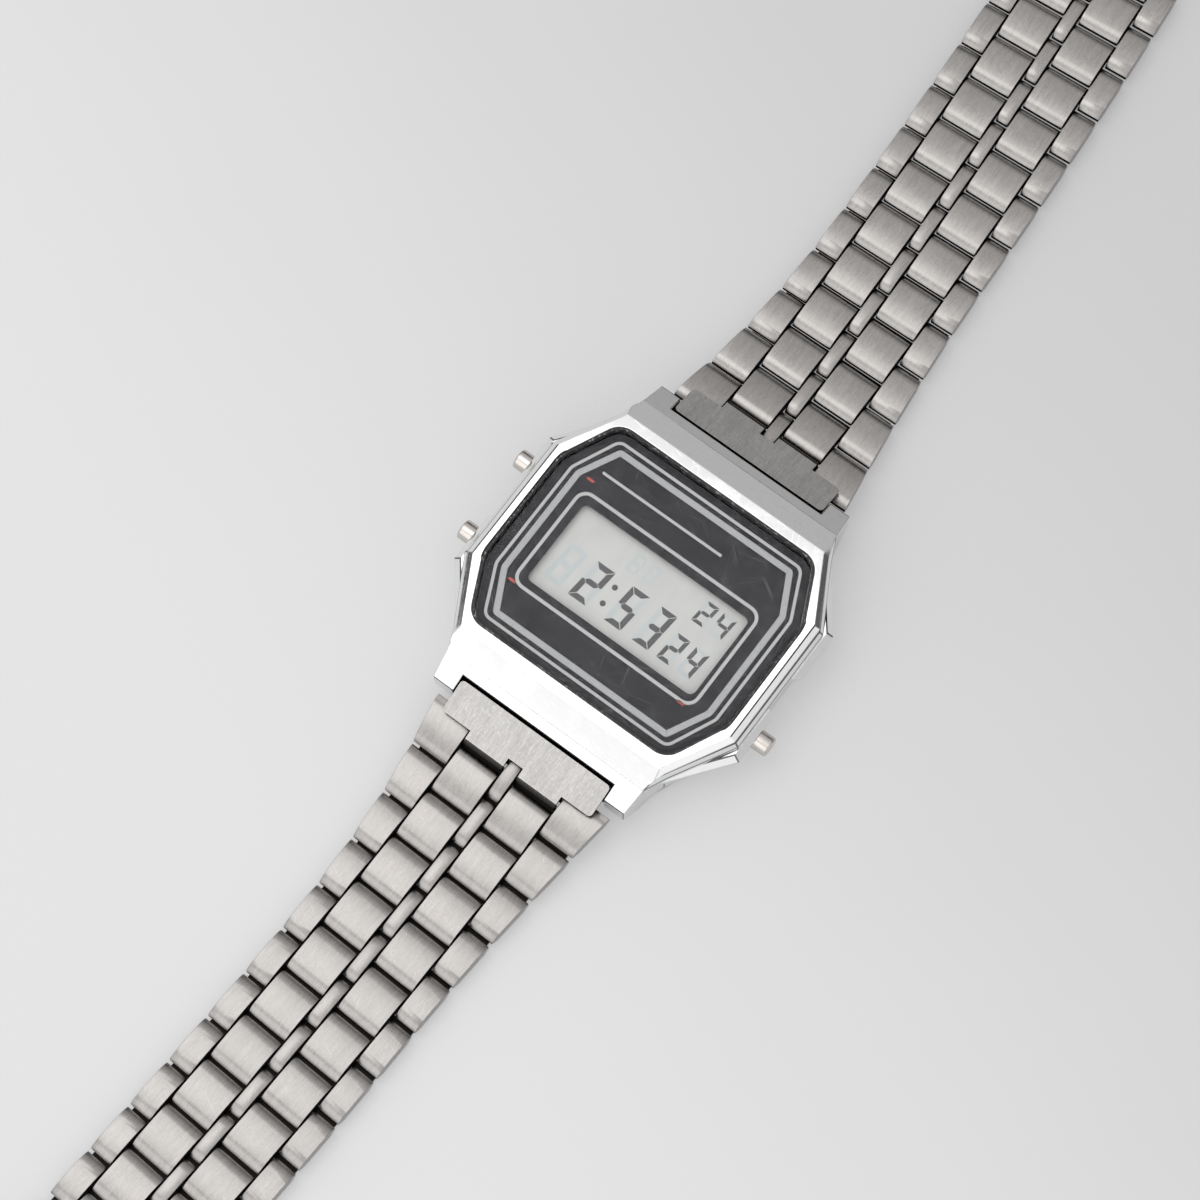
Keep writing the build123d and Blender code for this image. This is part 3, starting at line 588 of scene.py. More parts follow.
@dataclass(frozen=True)
class ClearPlastic(Finish):
    """Clear plastic that shows what lies behind it and reflects softly."""

    tint: Colour = (1.0, 1.0, 1.0)
    bend: float = 1.16
    roughness: float = 0.03
    haze: float = 0.0
    depth: float = 0.0015
    gloss_colour: Colour = (0.9, 0.9, 0.9)
    cloud_rate: Rate = 0.4
    hair_turns: tuple[float, ...] = (28.0, 72.0, 133.0, 166.0)
    hair_share: float = 0.70

    def build(self) -> bpy.types.Material:
        """Make the material.

        Returns:
            The finished material.
        """
        make = Recipe.material(self.name)
        cloud = make.noise(self.cloud_rate, detail=3.0)
        hair = make.scratches(self.hair_turns, self.hair_share)
        through = make.node("ShaderNodeBsdfTransparent", None, {"Color": self.tint})
        rough = self.roughness + cloud * 0.05 + hair * 0.15
        gloss = make.principled(self.gloss_colour, rough, make.bump(hair, self.depth), metallic=1.0)
        facing = make.node("ShaderNodeLayerWeight", None, {"Blend": 0.5}, output="Facing")
        head_on = ((self.bend - 1) / (self.bend + 1)) ** 2
        share = facing ** 5 * (1 - head_on) + head_on + hair * 0.05 + self.haze
        return make.end(make.layers(share, through, gloss))


@dataclass(frozen=True)
class Board(Finish):
    """Green coated board with copper traces under the coat."""

    dark: Colour = (0.012, 0.10, 0.045)
    light: Colour = (0.02, 0.15, 0.07)
    trace_colour: Colour = (0.10, 0.30, 0.12)
    trace_width: float = 0.09
    trace_length: float = 2.4
    trace_pitch: float = 0.8
    depth: float = 0.02
    roughness: float = 0.3
    cloud_rate: Rate = 0.6
    tone_span: Point = (0.35, 0.65)

    def build(self) -> bpy.types.Material:
        """Make the material.

        Returns:
            The finished material.
        """
        make = Recipe.material(self.name)
        grid = make.node("ShaderNodeTexBrick", {"offset": 0.5, "squash": 1.0},
                         {"Vector": make.place(Coordinates.OBJECT, (1.0, 1.0, 1.0)), "Scale": 1.0,
                          "Mortar Size": self.trace_width, "Brick Width": self.trace_length,
                          "Row Height": self.trace_pitch, "Color1": (0, 0, 0), "Color2": (0, 0, 0),
                          "Mortar": (1, 1, 1)}, output="Fac")
        cloud = make.noise(self.cloud_rate, detail=3.0)
        tone = make.blend(cloud.between(*self.tone_span), self.dark, self.light)
        tone = make.blend(grid * 0.65, tone, self.trace_colour)
        rough = self.roughness + cloud.swing(0.2)
        return make.end(make.principled(tone, rough, make.bump(grid, self.depth)))


@dataclass(frozen=True)
class StripedRubber(Finish):
    """Rubber strip with its fine conducting stripes across."""

    pale: Colour = (0.55, 0.42, 0.42)
    dark: Colour = (0.06, 0.06, 0.06)
    stripe_rate: float = 1.6
    stripe_span: Point = (0.4, 0.6)
    skin_rate: Rate = 8.0
    roughness: float = 0.6
    depth: float = 0.005

    def build(self) -> bpy.types.Material:
        """Make the material.

        Returns:
            The finished material.
        """
        make = Recipe.material(self.name)
        stripes = make.node("ShaderNodeTexWave", {"wave_type": "BANDS", "bands_direction": "X"},
                            {"Vector": make.place(Coordinates.OBJECT, (1.0, 1.0, 1.0)),
                             "Scale": self.stripe_rate})
        skin = make.noise(self.skin_rate)
        tone = make.blend(stripes.between(*self.stripe_span), self.pale, self.dark)
        return make.end(make.principled(tone, self.roughness + skin.swing(0.2), make.bump(skin, self.depth)))


@dataclass(frozen=True)
class Floor(Finish):
    """Pale matt table top, with a painted fall-off of light that makes it a little dimmer towards one side.
    """

    colour: Colour = (0.745, 0.745, 0.748)
    roughness: float = 0.75
    specular: float = 0.2
    fade_rates: tuple[float, float, float] = (0.00456, 0.012, 0.0)
    fade_span: Point = (-0.6, 1.1)
    fade_shares: Point = (1.0, 0.80)
    cloud_rate: Rate = 0.04
    glow_level: float = 1.07
    seen_share: float = 0.45
    mirrored_share: float = 0.25

    def build(self) -> bpy.types.Material:
        """Make the material.

        Returns:
            The finished material.
        """
        make = Recipe.material(self.name)
        far = make.place(Coordinates.OBJECT, self.fade_rates)
        reach = make.node("ShaderNodeVectorMath", {"operation": "DOT_PRODUCT"}, {0: far, 1: (1.0, 1.0, 1.0)},
                          output="Value")
        cloud = make.noise(self.cloud_rate, detail=3.0)
        # Painted shade: the table's tone falls off towards one side.
        tone = make.mottle(self.colour, self.fade_shares, (reach + cloud * 0.1).between(*self.fade_span))
        top = make.principled(tone, self.roughness, specular=self.specular)
        glow = make.node("ShaderNodeEmission", None, {"Color": tone, "Strength": self.glow_level})
        seen = make.node("ShaderNodeLightPath", output="Is Camera Ray")
        mirrored = make.node("ShaderNodeLightPath", output="Is Glossy Ray")
        return make.end(make.layers(seen * self.seen_share + mirrored * self.mirrored_share, top, glow))


class Finishes:
    """All finishes of the watch, each made once."""

    case = Chrome("case chrome")
    # Dark plating for the case's rounds and seams: a painted dark reflection.
    case_edge = Chrome("case edge chrome, painted dark reflection", (0.17, 0.17, 0.17), 0.12)
    button = Chrome("button chrome", (0.64, 0.60, 0.565), 0.2, 1.6)
    band = BrushedSteel("bracelet steel", source=Coordinates.GRAIN, shade_shares=(0.32, 0.78))
    # Near-black finish for the caps' walls facing into the gaps: a dark sheet standing in for painted shade.
    band_gap_shade = Moulding("gap painted shade", (0.006, 0.005, 0.005), 0.6, specular=0.06)
    # Strip steel kept near black as painted shade in the bracelet's gaps; the end links' lower faces take it
    # too.
    strip = BrushedSteel("strip steel in painted shade", (0.06, 0.056, 0.053), 0.38, shade_shares=(0.62, 0.97))
    # Pin steel kept dark as painted shade in the gaps.
    pin = BrushedSteel("pin steel in painted shade", (0.12, 0.115, 0.11), 0.3, turn=90.0, shade_shares=(0.6, 0.95))
    end_link = BrushedSteel("end link steel", (0.52, 0.505, 0.49), 0.36, 0.45, scratch=0.5)
    clasp = BrushedSteel("clasp steel", (0.48, 0.47, 0.46), 0.30)
    leaf = BrushedSteel("leaf steel", (0.50, 0.49, 0.48), 0.26)
    back = BrushedSteel("back steel", (0.60, 0.60, 0.60), 0.30, turn=90.0)
    screw = BrushedSteel("screw steel", (0.55, 0.55, 0.55), 0.28)
    bar = BrushedSteel("spring bar steel", (0.55, 0.55, 0.55), 0.3, turn=90.0)
    spring = BrushedSteel("spring steel", (0.6, 0.6, 0.62), 0.25)
    cell_steel = BrushedSteel("coin cell steel", (0.66, 0.66, 0.66), 0.24)
    cover = BrushedSteel("module cover steel", (0.62, 0.62, 0.63), 0.28, turn=90.0)
    can = BrushedSteel("crystal can steel", (0.62, 0.62, 0.63), 0.2, turn=90.0)
    brass = BrushedSteel("sounder brass", (0.70, 0.50, 0.20), 0.28)
    gold = BrushedSteel("contact gold", (0.80, 0.58, 0.25), 0.2)
    reflector = BrushedSteel("reflector silver", (0.78, 0.78, 0.77), 0.4)
    lens = ClearPlastic("lens clear")
    guide = ClearPlastic("guide clear", (0.96, 0.98, 0.97), 1.4, 0.1, 0.06)
    lamp = ClearPlastic("lamp clear", (0.98, 0.94, 0.8), 1.45, 0.08, 0.12)
    # The gasket's light flecks are partly dust and partly painted glints at the lens edge.
    gasket = Moulding("gasket rubber", (0.018, 0.018, 0.018), 0.42, dust=0.8)
    seal = Moulding("seal rubber", (0.03, 0.03, 0.03), 0.55)
    module = Moulding("frame plastic", (0.05, 0.05, 0.055), 0.5)
    chip = Moulding("chip resin", (0.012, 0.012, 0.012), 0.25, 2.0)
    panel = PrintedPanel("panel print")
    ink_line = Ink("line ink", (0.52, 0.52, 0.52), 0.08)
    ink_band = Ink("band ink", (0.43, 0.435, 0.44), 0.16)
    ink_red = Ink("red ink", (0.50, 0.085, 0.065), 0.15)
    segment = Ink("segment ink", (0.088, 0.088, 0.093), 0.08, 0.4)
    ghost = Ink("ghost ink", (0.535, 0.575, 0.58), 0.02, 0.4)
    cell = Cell("display cell")
    board = Board("board coat")
    zebra = StripedRubber("strip rubber")
    floor = Floor("table top")

    _made: dict[str, bpy.types.Material] = {}

    @classmethod
    def get(cls, finish: Finish) -> bpy.types.Material:
        """The finish's material, made on first use.

        Args:
            finish: Finish to look up.

        Returns:
            Its material.
        """
        if finish.name not in cls._made:
            cls._made[finish.name] = finish.build()
        return cls._made[finish.name]


class Workpiece:
    """A mesh in the making, in millimetres, whose points are fresh until they are settled."""

    settled_name = "settled"
    merge_distance = 0.0005
    joined_angle = 0.6
    rounded_angle = 12.0
    crisp_angle = 32.0
    room_for_round = 2.4
    round_steps = 2

    def __init__(self, source: bpy.types.Mesh | None = None) -> None:
        """Start with nothing or with a copy.

        Args:
            source: Mesh that is copied.
        """
        self.mesh = bmesh.new()
        if source is not None:
            self.mesh.from_mesh(source)
        self.mesh.verts.layers.float_vector.new(Coordinates.GRAIN.value)
        self.mesh.verts.layers.int.new(self.settled_name)

    @property
    def grain(self) -> bmesh.types.BMLayerItem:
        """Layer of the grain place."""
        return self.mesh.verts.layers.float_vector[Coordinates.GRAIN.value]

    @property
    def settled(self) -> bmesh.types.BMLayerItem:
        """Layer that marks the settled points."""
        return self.mesh.verts.layers.int[self.settled_name]

    @classmethod
    def from_node(cls, node: str, to_local: Matrix | None = None) -> "Workpiece":
        """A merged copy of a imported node's mesh.

        Args:
            node: Name of the node.
            to_local: Turns the place on the watch into the piece's own place, in metres.

        Returns:
            The copy.
        """
        piece = cls(frame["nodes"][node].data)
        if to_local is not None:
            bmesh.ops.transform(piece.mesh, matrix=to_local, verts=piece.mesh.verts)
        bmesh.ops.scale(piece.mesh, vec=(1 / MM,) * 3, verts=piece.mesh.verts)
        bmesh.ops.remove_doubles(piece.mesh, verts=piece.mesh.verts, dist=cls.merge_distance)
        return piece

    def fresh(self) -> list[bmesh.types.BMVert]:
        """Points made since the last call of settle."""
        mark = self.settled
        return [v for v in self.mesh.verts if not v[mark]]

    def fresh_faces(self) -> list[bmesh.types.BMFace]:
        """Faces made since the last call of settle."""
        mark = self.settled
        return [f for f in self.mesh.faces if not f.verts[0][mark]]

    def settle(self, shift: Sequence[float] = (0, 0, 0)) -> None:
        """Write the grain place of the fresh points.

        Args:
            shift: Offset of the pattern, so that like pieces differ.
        """
        grain, mark = self.grain, self.settled
        for vert in self.fresh():
            vert[grain] = vert.co + Vector(shift)
            vert[mark] = 1

    def folds(self, angle: float) -> list[bmesh.types.BMEdge]:
        """Edges whose two faces meet at more than an angle."""
        limit = radians(angle)
        return [e for e in self.mesh.edges if len(e.link_faces) == 2 and e.calc_face_angle(0) > limit]

    def face(self, points: Sequence[Point], at: float, facing: Facing) -> bmesh.types.BMFace:
        """A flat face from an outline.

        Args:
            points: Corners in X and Y, or in Y and Z.
            at: Height, or place along X.
            facing: Plane of the outline.

        Returns:
            The face.
        """
        corners = [(a, b, at) if facing is Facing.UP else (at, a, b) for a, b in points]
        return self.mesh.faces.new([self.mesh.verts.new(c) for c in corners])

    def extrude(self, faces: Sequence[bmesh.types.BMFace]) -> list[bmesh.types.BMVert]:
        """Draw faces out and hand back the points of the far end, which still lie in place."""
        made = bmesh.ops.extrude_face_region(self.mesh, geom=list(faces))["geom"]
        return [g for g in made if isinstance(g, bmesh.types.BMVert)]

    def prism(self, points: Sequence[Point], low: float, height: float) -> None:
        """An outline drawn up to a closed solid.

        Args:
            points: Corners of the outline in X and Y.
            low: Height at which it starts.
            height: How far it is drawn up.
        """
        far = self.extrude([self.face(points, low, Facing.UP)])
        bmesh.ops.translate(self.mesh, vec=(0, 0, height), verts=far)

    def lathe(self, profile: Sequence[Point], steps: int) -> None:
        """Turn a profile about X.

        Args:
            profile: Places along X with their radius.
            steps: Faces round the turn.
        """
        verts = [self.mesh.verts.new((along, 0, radius)) for along, radius in profile]
        edges = [self.mesh.edges.new(pair) for pair in zip(verts, verts[1:])]
        bmesh.ops.spin(self.mesh, geom=[*verts, *edges], cent=(0, 0, 0), axis=(1, 0, 0), dvec=(0, 0, 0),
                       angle=2 * pi, steps=steps, use_merge=True, use_duplicate=False)
        bmesh.ops.remove_doubles(self.mesh, verts=self.fresh(), dist=self.merge_distance)

    def bevel(self, edges: Iterable[bmesh.types.BMEdge], width: float) -> list[bmesh.types.BMFace]:
        """Round some edges.

        Args:
            edges: The edges.
            width: Set-back of the round.

        Returns:
            Faces of the rounds.
        """
        made = bmesh.ops.bevel(self.mesh, geom=list(edges), offset=width, offset_type="OFFSET",
                               segments=self.round_steps, profile=0.5, affect="EDGES", clamp_overlap=True,
                               material=-1)
        return made["faces"]

    def soften(self, width: float) -> list[bmesh.types.BMFace]:
        """Join flat faces, round every sharp edge that has room for it and keep the others crisp.

        Args:
            width: Set-back of the round.

        Returns:
            Faces of the rounds.
        """
        bmesh.ops.dissolve_limit(self.mesh, angle_limit=radians(self.joined_angle), verts=self.mesh.verts,
                                 edges=self.mesh.edges, use_dissolve_boundaries=False)
        room = self.room_for_round * width
        roomy = {v for v in self.mesh.verts if all(e.calc_length() > room for e in v.link_edges)}
        sharp = self.folds(self.rounded_angle)
        for edge in sharp:
            edge.smooth = False
        return self.bevel([e for e in sharp if all(v in roomy for v in e.verts)], width)

    def keep(self, wanted: Callable[[list[bmesh.types.BMVert]], bool]) -> None:
        """Keep only the loose parts for which a test holds.

        Args:
            wanted: Test of a part's points.
        """
        left = set(self.mesh.verts)
        drop: list[bmesh.types.BMVert] = []
        while left:
            part = [left.pop()]
            for vert in part:
                near = [e.other_vert(vert) for e in vert.link_edges]
                found = [v for v in near if v in left]
                left.difference_update(found)
                part.extend(dict.fromkeys(found))
            if not wanted(part):
                drop.extend(part)
        bmesh.ops.delete(self.mesh, geom=drop, context="VERTS")

    def finish(self, name: str, body: str, slot: str, finishes: Sequence[Finish],
               place: Matrix | None = None, weighted: bool = False, replaces: Sequence[str] = (),
               turn_out: bool = True) -> bpy.types.Object:
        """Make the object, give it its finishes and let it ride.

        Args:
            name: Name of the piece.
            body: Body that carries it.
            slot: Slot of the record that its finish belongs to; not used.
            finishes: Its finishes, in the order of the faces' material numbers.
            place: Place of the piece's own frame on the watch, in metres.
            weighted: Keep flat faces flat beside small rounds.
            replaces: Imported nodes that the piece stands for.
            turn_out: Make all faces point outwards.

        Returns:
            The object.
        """
        if turn_out:
            bmesh.ops.recalc_face_normals(self.mesh, faces=self.mesh.faces)
        self.settle()
        self.mesh.verts.layers.int.remove(self.settled)
        for edge in self.folds(self.crisp_angle):
            edge.smooth = False
        for face in self.mesh.faces:
            face.smooth = True
        bmesh.ops.scale(self.mesh, vec=(MM,) * 3, verts=self.mesh.verts)
        if place is not None:
            bmesh.ops.transform(self.mesh, matrix=place, verts=self.mesh.verts)
        data = bpy.data.meshes.new(name)
        self.mesh.to_mesh(data)
        self.mesh.free()
        piece = bpy.data.objects.new(name, data)
        bpy.context.scene.collection.objects.link(piece)
        for finish in finishes:
            data.materials.append(Finishes.get(finish))
        if weighted:
            piece.modifiers.new("flat faces", "WEIGHTED_NORMAL").keep_sharp = True
        if replaces:
            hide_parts(*replaces)
        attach(piece, body)
        log.info("%s: %d faces on %s", name, len(data.polygons), body)
        return piece


def plate(node: str, body: str, slot: str, finish: Finish, edge_round: float) -> None:
    """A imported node's own shape, with rounded edges.

    Args:
        node: Name of the node.
        body: Body that carries it.
        slot: Slot of the record that its finish belongs to.
        finish: Its finish.
        edge_round: Set-back of the rounds.
    """
    work = Workpiece.from_node(node)
    work.soften(edge_round)
    work.finish(f"{node}_plate", body, slot, [finish], weighted=True, replaces=[node], turn_out=False)


def turn_between(start: Vector, end: Vector) -> Point:
    """Angle in radians of one arm and the shorter turn from it to another."""
    first = atan2(start.y, start.x)
    return first, (atan2(end.y, end.x) - first + pi) % (2 * pi) - pi


def rounded(corners: Sequence[tuple[float, float, float]]) -> list[Point]:
    """An outline whose corners are arcs, with a point about every ARC_STEP degrees.

    Args:
        corners: X, Y and radius of each corner, in order.

    Returns:
        Points of the outline.
    """
    points: list[Point] = []
    for index, (x, y, radius) in enumerate(corners):
        here = Vector((x, y))
        before = (Vector(corners[index - 1][:2]) - here).normalized()
        after = (Vector(corners[(index + 1) % len(corners)][:2]) - here).normalized()
        half = before.angle(after) / 2
        centre = here + (before + after).normalized() * (radius / sin(half))
        start = here + before * (radius / tan(half)) - centre
        end = here + after * (radius / tan(half)) - centre
        first, sweep = turn_between(start, end)
        count = max(2, round(abs(sweep) / radians(ARC_STEP)))
        for i in range(count + 1):
            angle = first + sweep * i / count
            points.append((centre.x + radius * cos(angle), centre.y + radius * sin(angle)))
    return points


def arc(start: Point, end: Point, tangent: Point, count: int) -> list[Point]:
    """Points of an arc that leaves a point along a tangent.

    Args:
        start: Where it starts.
        end: Where it ends.
        tangent: Direction at the start.
        count: Steps of the arc.

    Returns:
        The points, both ends included.
    """
    a, b, t = Vector(start), Vector(end), Vector(tangent).normalized()
    normal = Vector((-t.y, t.x))
    chord = b - a
    radius = chord.length_squared / (2 * chord.dot(normal))
    centre = a + normal * radius
    first, sweep = turn_between(a - centre, b - centre)
    size = abs(radius)
    angles = [first + sweep * i / count for i in range(count + 1)]
    return [(centre.x + size * cos(angle), centre.y + size * sin(angle)) for angle in angles]


def box_outline(x0: float, y0: float, x1: float, y1: float) -> list[Point]:
    """Corners of a rectangle, from its lower right one."""
    return [(x1, y0), (x1, y1), (x0, y1), (x0, y0)]


@dataclass
class Case:
    """Chromed shell and case back. The rounds and seams of the shell get a darker plating, a painted dark
    reflection.
    """

    edge_round: float = 0.12
    back_edge_round: float = 0.08
    seam_round: float = 0.12
    seam_length: float = 14.0
    seam_rise: float = 0.12
    seam_angle: float = 1.0

    def seams(self, shell: Workpiece) -> list[bmesh.types.BMEdge]:
        """Long shallow creases across the two ends of the case, which soften leaves smooth.

        Args:
            shell: The case shell in the making.

        Returns:
            The edges of these creases.
        """
        found = []
        for edge in shell.folds(self.seam_angle):
            step = edge.verts[0].co - edge.verts[1].co
            if edge.smooth and abs(step.x) > self.seam_length and abs(step.z) < self.seam_rise:
                found.append(edge)
        return found

    def build(self) -> None:
        """Build the shell and the back."""
        shell = Workpiece.from_node("case_shell")
        rounds = shell.soften(self.edge_round)
        seams = self.seams(shell)
        log.info("case_shell: %d seams", len(seams))
        # The rounds and seams take the darker plating, a painted dark reflection.
        for face in [*rounds, *shell.bevel(seams, self.seam_round)]:
            if face.is_valid:
                face.material_index = 1
        shell.finish("case_shell_plated", "case", "case_chrome", [Finishes.case, Finishes.case_edge],
                     weighted=True, replaces=["case_shell"], turn_out=False)
        plate("case_back", "case", "back_steel", Finishes.back, self.back_edge_round)


@dataclass
class DialPrint:
    """Lines printed on the panel."""

    top: float = 6.92
    thickness: float = 0.015
    ring_corners: tuple[Point, ...] = ((13.23, 6.07), (10.93, 11.05))
    ring_width: float = 0.3
    band_corners: tuple[Point, ...] = ((12.5, 6.0), (10.3, 10.3))
    band_width: float = 0.62
    corner_round: float = 1.1
    band_round: float = 0.55
    window_frame: tuple[float, float, float, float] = (-11.0, -6.7, 10.65, 5.05)
    frame_width: float = 0.34
    frame_round: float = 1.35
    rule: tuple[float, float, float, float] = (-10.3, 7.22, 3.9, 7.5)
    dash: Point = (0.8, 0.26)
    dash_places: tuple[Point, ...] = ((-10.8, 6.05), (-10.8, -6.55), (9.4, -6.7))

    def octagon(self, corners: Sequence[Point], radius: float) -> list[Point]:
        """Outline of an octagon ring from its two upper right corners.

        Args:
            corners: The corner at the side, then the one at the top.
            radius: Radius that rounds each corner.

        Returns:
            Points of the outline.
        """
        (wide, near), (narrow, far) = corners
        right = [(wide, -near), (wide, near), (narrow, far)]
        left = [(-x, y) for x, y in reversed(right)]
        low = [(-narrow, -far), (narrow, -far)]
        return rounded([(x, y, radius) for x, y in [*right, *left, *low]])

    def ring(self, name: str, outline: Sequence[Point], width: float, ink: Ink) -> None:
        """A printed line of even width inside an outline.

        Args:
            name: Name of the piece.
            outline: Outer edge of the line.
            width: Width of the line.
            ink: Its ink.
        """
        work = Workpiece()
        middle = work.face(outline, self.top, Facing.UP)
        middle.normal_update()
        bmesh.ops.inset_region(work.mesh, faces=[middle], thickness=width, use_even_offset=True,
                               use_boundary=True)
        bmesh.ops.delete(work.mesh, geom=[middle], context="FACES_ONLY")
        lifted = work.extrude(work.mesh.faces)
        bmesh.ops.translate(work.mesh, vec=(0, 0, self.thickness), verts=lifted)
        work.finish(name, "case", "panel_dark", [ink])

    def bars(self, name: str, boxes: Iterable[tuple[float, float, float, float]], ink: Ink) -> None:
        """Straight printed bars.

        Args:
            name: Name of the piece.
            boxes: Left, low, right and top side of each bar.
            ink: Their ink.
        """
        work = Workpiece()
        for box in boxes:
            work.prism(box_outline(*box), self.top, self.thickness)
        work.finish(name, "case", "panel_dark", [ink])

    def build(self) -> None:
        """Print the panel."""
        self.ring("print_outer_line", self.octagon(self.ring_corners, self.corner_round), self.ring_width,
                  Finishes.ink_line)
        self.ring("print_band", self.octagon(self.band_corners, self.band_round), self.band_width,
                  Finishes.ink_band)
        corners = [(x, y, self.frame_round) for x, y in box_outline(*self.window_frame)]
        self.ring("print_window_line", rounded(corners), self.frame_width, Finishes.ink_line)
        self.bars("print_rule", [self.rule], Finishes.ink_line)
        w, h = (v / 2 for v in self.dash)
        dashes = [(x - w, y - h, x + w, y + h) for x, y in self.dash_places]
        self.bars("print_red_dashes", dashes, Finishes.ink_red)


SEGMENTS = {"0": "abcdef", "1": "bc", "2": "abged", "3": "abgcd", "4": "fgbc", "5": "afgcd",
            "6": "afgedc", "7": "abc", "8": "abcdefg", "9": "abcdfg", " ": ""}


@dataclass
class Digit:
    """One seven-segment digit."""

    figure: str
    left: float
    right: float
    top: float
    low: float
    stroke: float

    def segments(self, slant: float, gap: float) -> dict[str, list[Point]]:
        """Outlines of the seven segments.

        Args:
            slant: Lean of the digit, in X for each Y.
            gap: Gap between two segments.

        Returns:
            Outline of each segment, by its letter.
        """
        height = self.top - self.low
        width = self.right - self.left - slant * height
        stroke, half, middle = self.stroke, self.stroke / 2, height / 2
        inner, under, near = width - stroke, height - stroke, middle + gap / 2
        start, stop = stroke + gap / 2, inner - gap / 2
        upper = {"a": [(gap, height), (width - gap, height), (inner - gap, under), (stroke + gap, under)],
                 "b": [(width, height - gap), (width, near), (width - half, near), (inner, near + half),
                       (inner, under - gap)],
                 "f": [(0, height - gap), (stroke, under - gap), (stroke, near + half), (half, near),
                       (0, near)]}
        opposite = {"a": "d", "b": "c", "f": "e"}
        lower = {opposite[key]: [(x, height - y) for x, y in reversed(points)]
                 for key, points in upper.items()}
        bar = {"g": [(half + gap, middle), (start, middle - half), (stop, middle - half),
                     (width - half - gap, middle), (stop, middle + half), (start, middle + half)]}
        return {key: [(self.left + x + slant * y, self.low + y) for x, y in points]
                for key, points in {**upper, **lower, **bar}.items()}


@dataclass
class Display:
    """Figures of the liquid crystal display."""

    top: float = 6.11
    thickness: float = 0.02
    ghost_thickness: float = 0.012
    slant: float = 0.09
    gap: float = 0.055
    colon_place: float = -2.57
    colon_radius: float = 0.3
    colon_rows: Point = (-1.08, -3.05)
    colon_sides: int = 24
    digits: list[Digit] = field(default_factory=lambda: [
        Digit(" ", -8.99, -6.49, 0.10, -4.25, 0.58), Digit("2", -5.89, -3.34, 0.10, -4.25, 0.58),
        Digit("5", -1.64, 0.81, 0.10, -4.25, 0.58), Digit("3", 1.70, 4.06, 0.10, -4.25, 0.58),
        Digit("2", 4.66, 6.51, -1.10, -4.25, 0.42), Digit("4", 6.96, 8.81, -1.10, -4.25, 0.42),
        Digit("2", 5.16, 6.81, 3.20, 0.70, 0.35), Digit("4", 7.16, 8.91, 3.20, 0.70, 0.35),
        Digit(" ", -3.0, -1.55, 3.05, 1.0, 0.30), Digit(" ", -1.15, 0.3, 3.05, 1.0, 0.30)])

    def build(self) -> None:
        """Build the lit and unlit segments."""
        lit, faint = Workpiece(), Workpiece()
        for digit in self.digits:
            for key, points in digit.segments(self.slant, self.gap).items():
                on = key in SEGMENTS[digit.figure]
                work, rise = (lit, self.thickness) if on else (faint, self.ghost_thickness)
                work.prism(points, self.top, rise)
        angles = [2 * pi * i / self.colon_sides for i in range(self.colon_sides)]
        for y in self.colon_rows:
            dot = [(self.colon_place + self.colon_radius * cos(a), y + self.colon_radius * sin(a))
                   for a in angles]
            lit.prism(dot, self.top, self.thickness)
        lit.finish("display_figures", "case", "display_grey", [Finishes.segment])
        faint.finish("display_unlit_segments", "case", "display_grey", [Finishes.ghost])


@dataclass
class PushButton:
    """Round push button, turned from one bar, with its clip and its return spring."""

    node: str
    head_radius: float = 1.05
    head_length: float = 2.5
    head_sides: int = 64
    stem_radius: float = 0.5
    reach: float = 18.5
    stem_inner: float = 12.9
    edge: float = 0.2
    edge_steps: int = 5
    chamfer: float = 0.06
    clip_radius: float = 0.95
    clip_place: Point = (13.15, 13.35)
    clip_sides: int = 40
    height: float = 3.75

    @property
    def side(self) -> int:
        """1 on the right of the case, -1 on the left."""
        return 1 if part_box(self.node)[1].x > 0 else -1

    def profile(self) -> list[Point]:
        """Profile of the button from its stem to its face.

        Returns:
            Points of distance along the axis and radius.
        """
        inner, cut = self.stem_inner, self.chamfer
        head = self.reach - self.head_length
        stem = [(inner, 0), (inner, self.stem_radius - cut), (inner + cut, self.stem_radius),
                (head, self.stem_radius)]
        rim = arc((self.reach - self.edge, self.head_radius), (self.reach, self.head_radius - self.edge),
                  (1, 0), self.edge_steps)
        return [*stem, (head, self.head_radius - cut), (head + cut, self.head_radius), *rim, (self.reach, 0)]

    def build(self) -> None:
        """Turn the button and its clip, then the spring."""
        low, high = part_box(self.node)
        work = Workpiece()
        work.lathe(self.profile(), self.head_sides)
        inner, outer = self.clip_place
        clip = [(inner, self.stem_radius), (inner, self.clip_radius), (outer, self.clip_radius),
                (outer, self.stem_radius)]
        work.lathe([*clip, clip[0]], self.clip_sides)
        turn = Matrix.Rotation(0 if self.side > 0 else pi, 4, "Z")
        place = Matrix.Translation((0, (low.y + high.y) / 2, self.height * MM)) @ turn
        work.finish(f"{self.node}_turned", self.node, "button_chrome", [Finishes.button], place,
                    replaces=[self.node])
        self.spring()

    def spring(self) -> None:
        """The button's return spring."""
        coil, joint = f"{self.node}_spring", f"{self.node}_press"
        low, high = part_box(coil)
        piece = Workpiece.from_node(coil).finish(f"{coil}_coil", "case", "spring_steel", [Finishes.spring],
                                                 replaces=[coil], turn_out=False)
        travel = next(j for j in frame["joints"] if j["name"] == joint)["range_m"][1]
        self.side
        1 - travel / (high.x - low.x)
        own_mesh(piece)


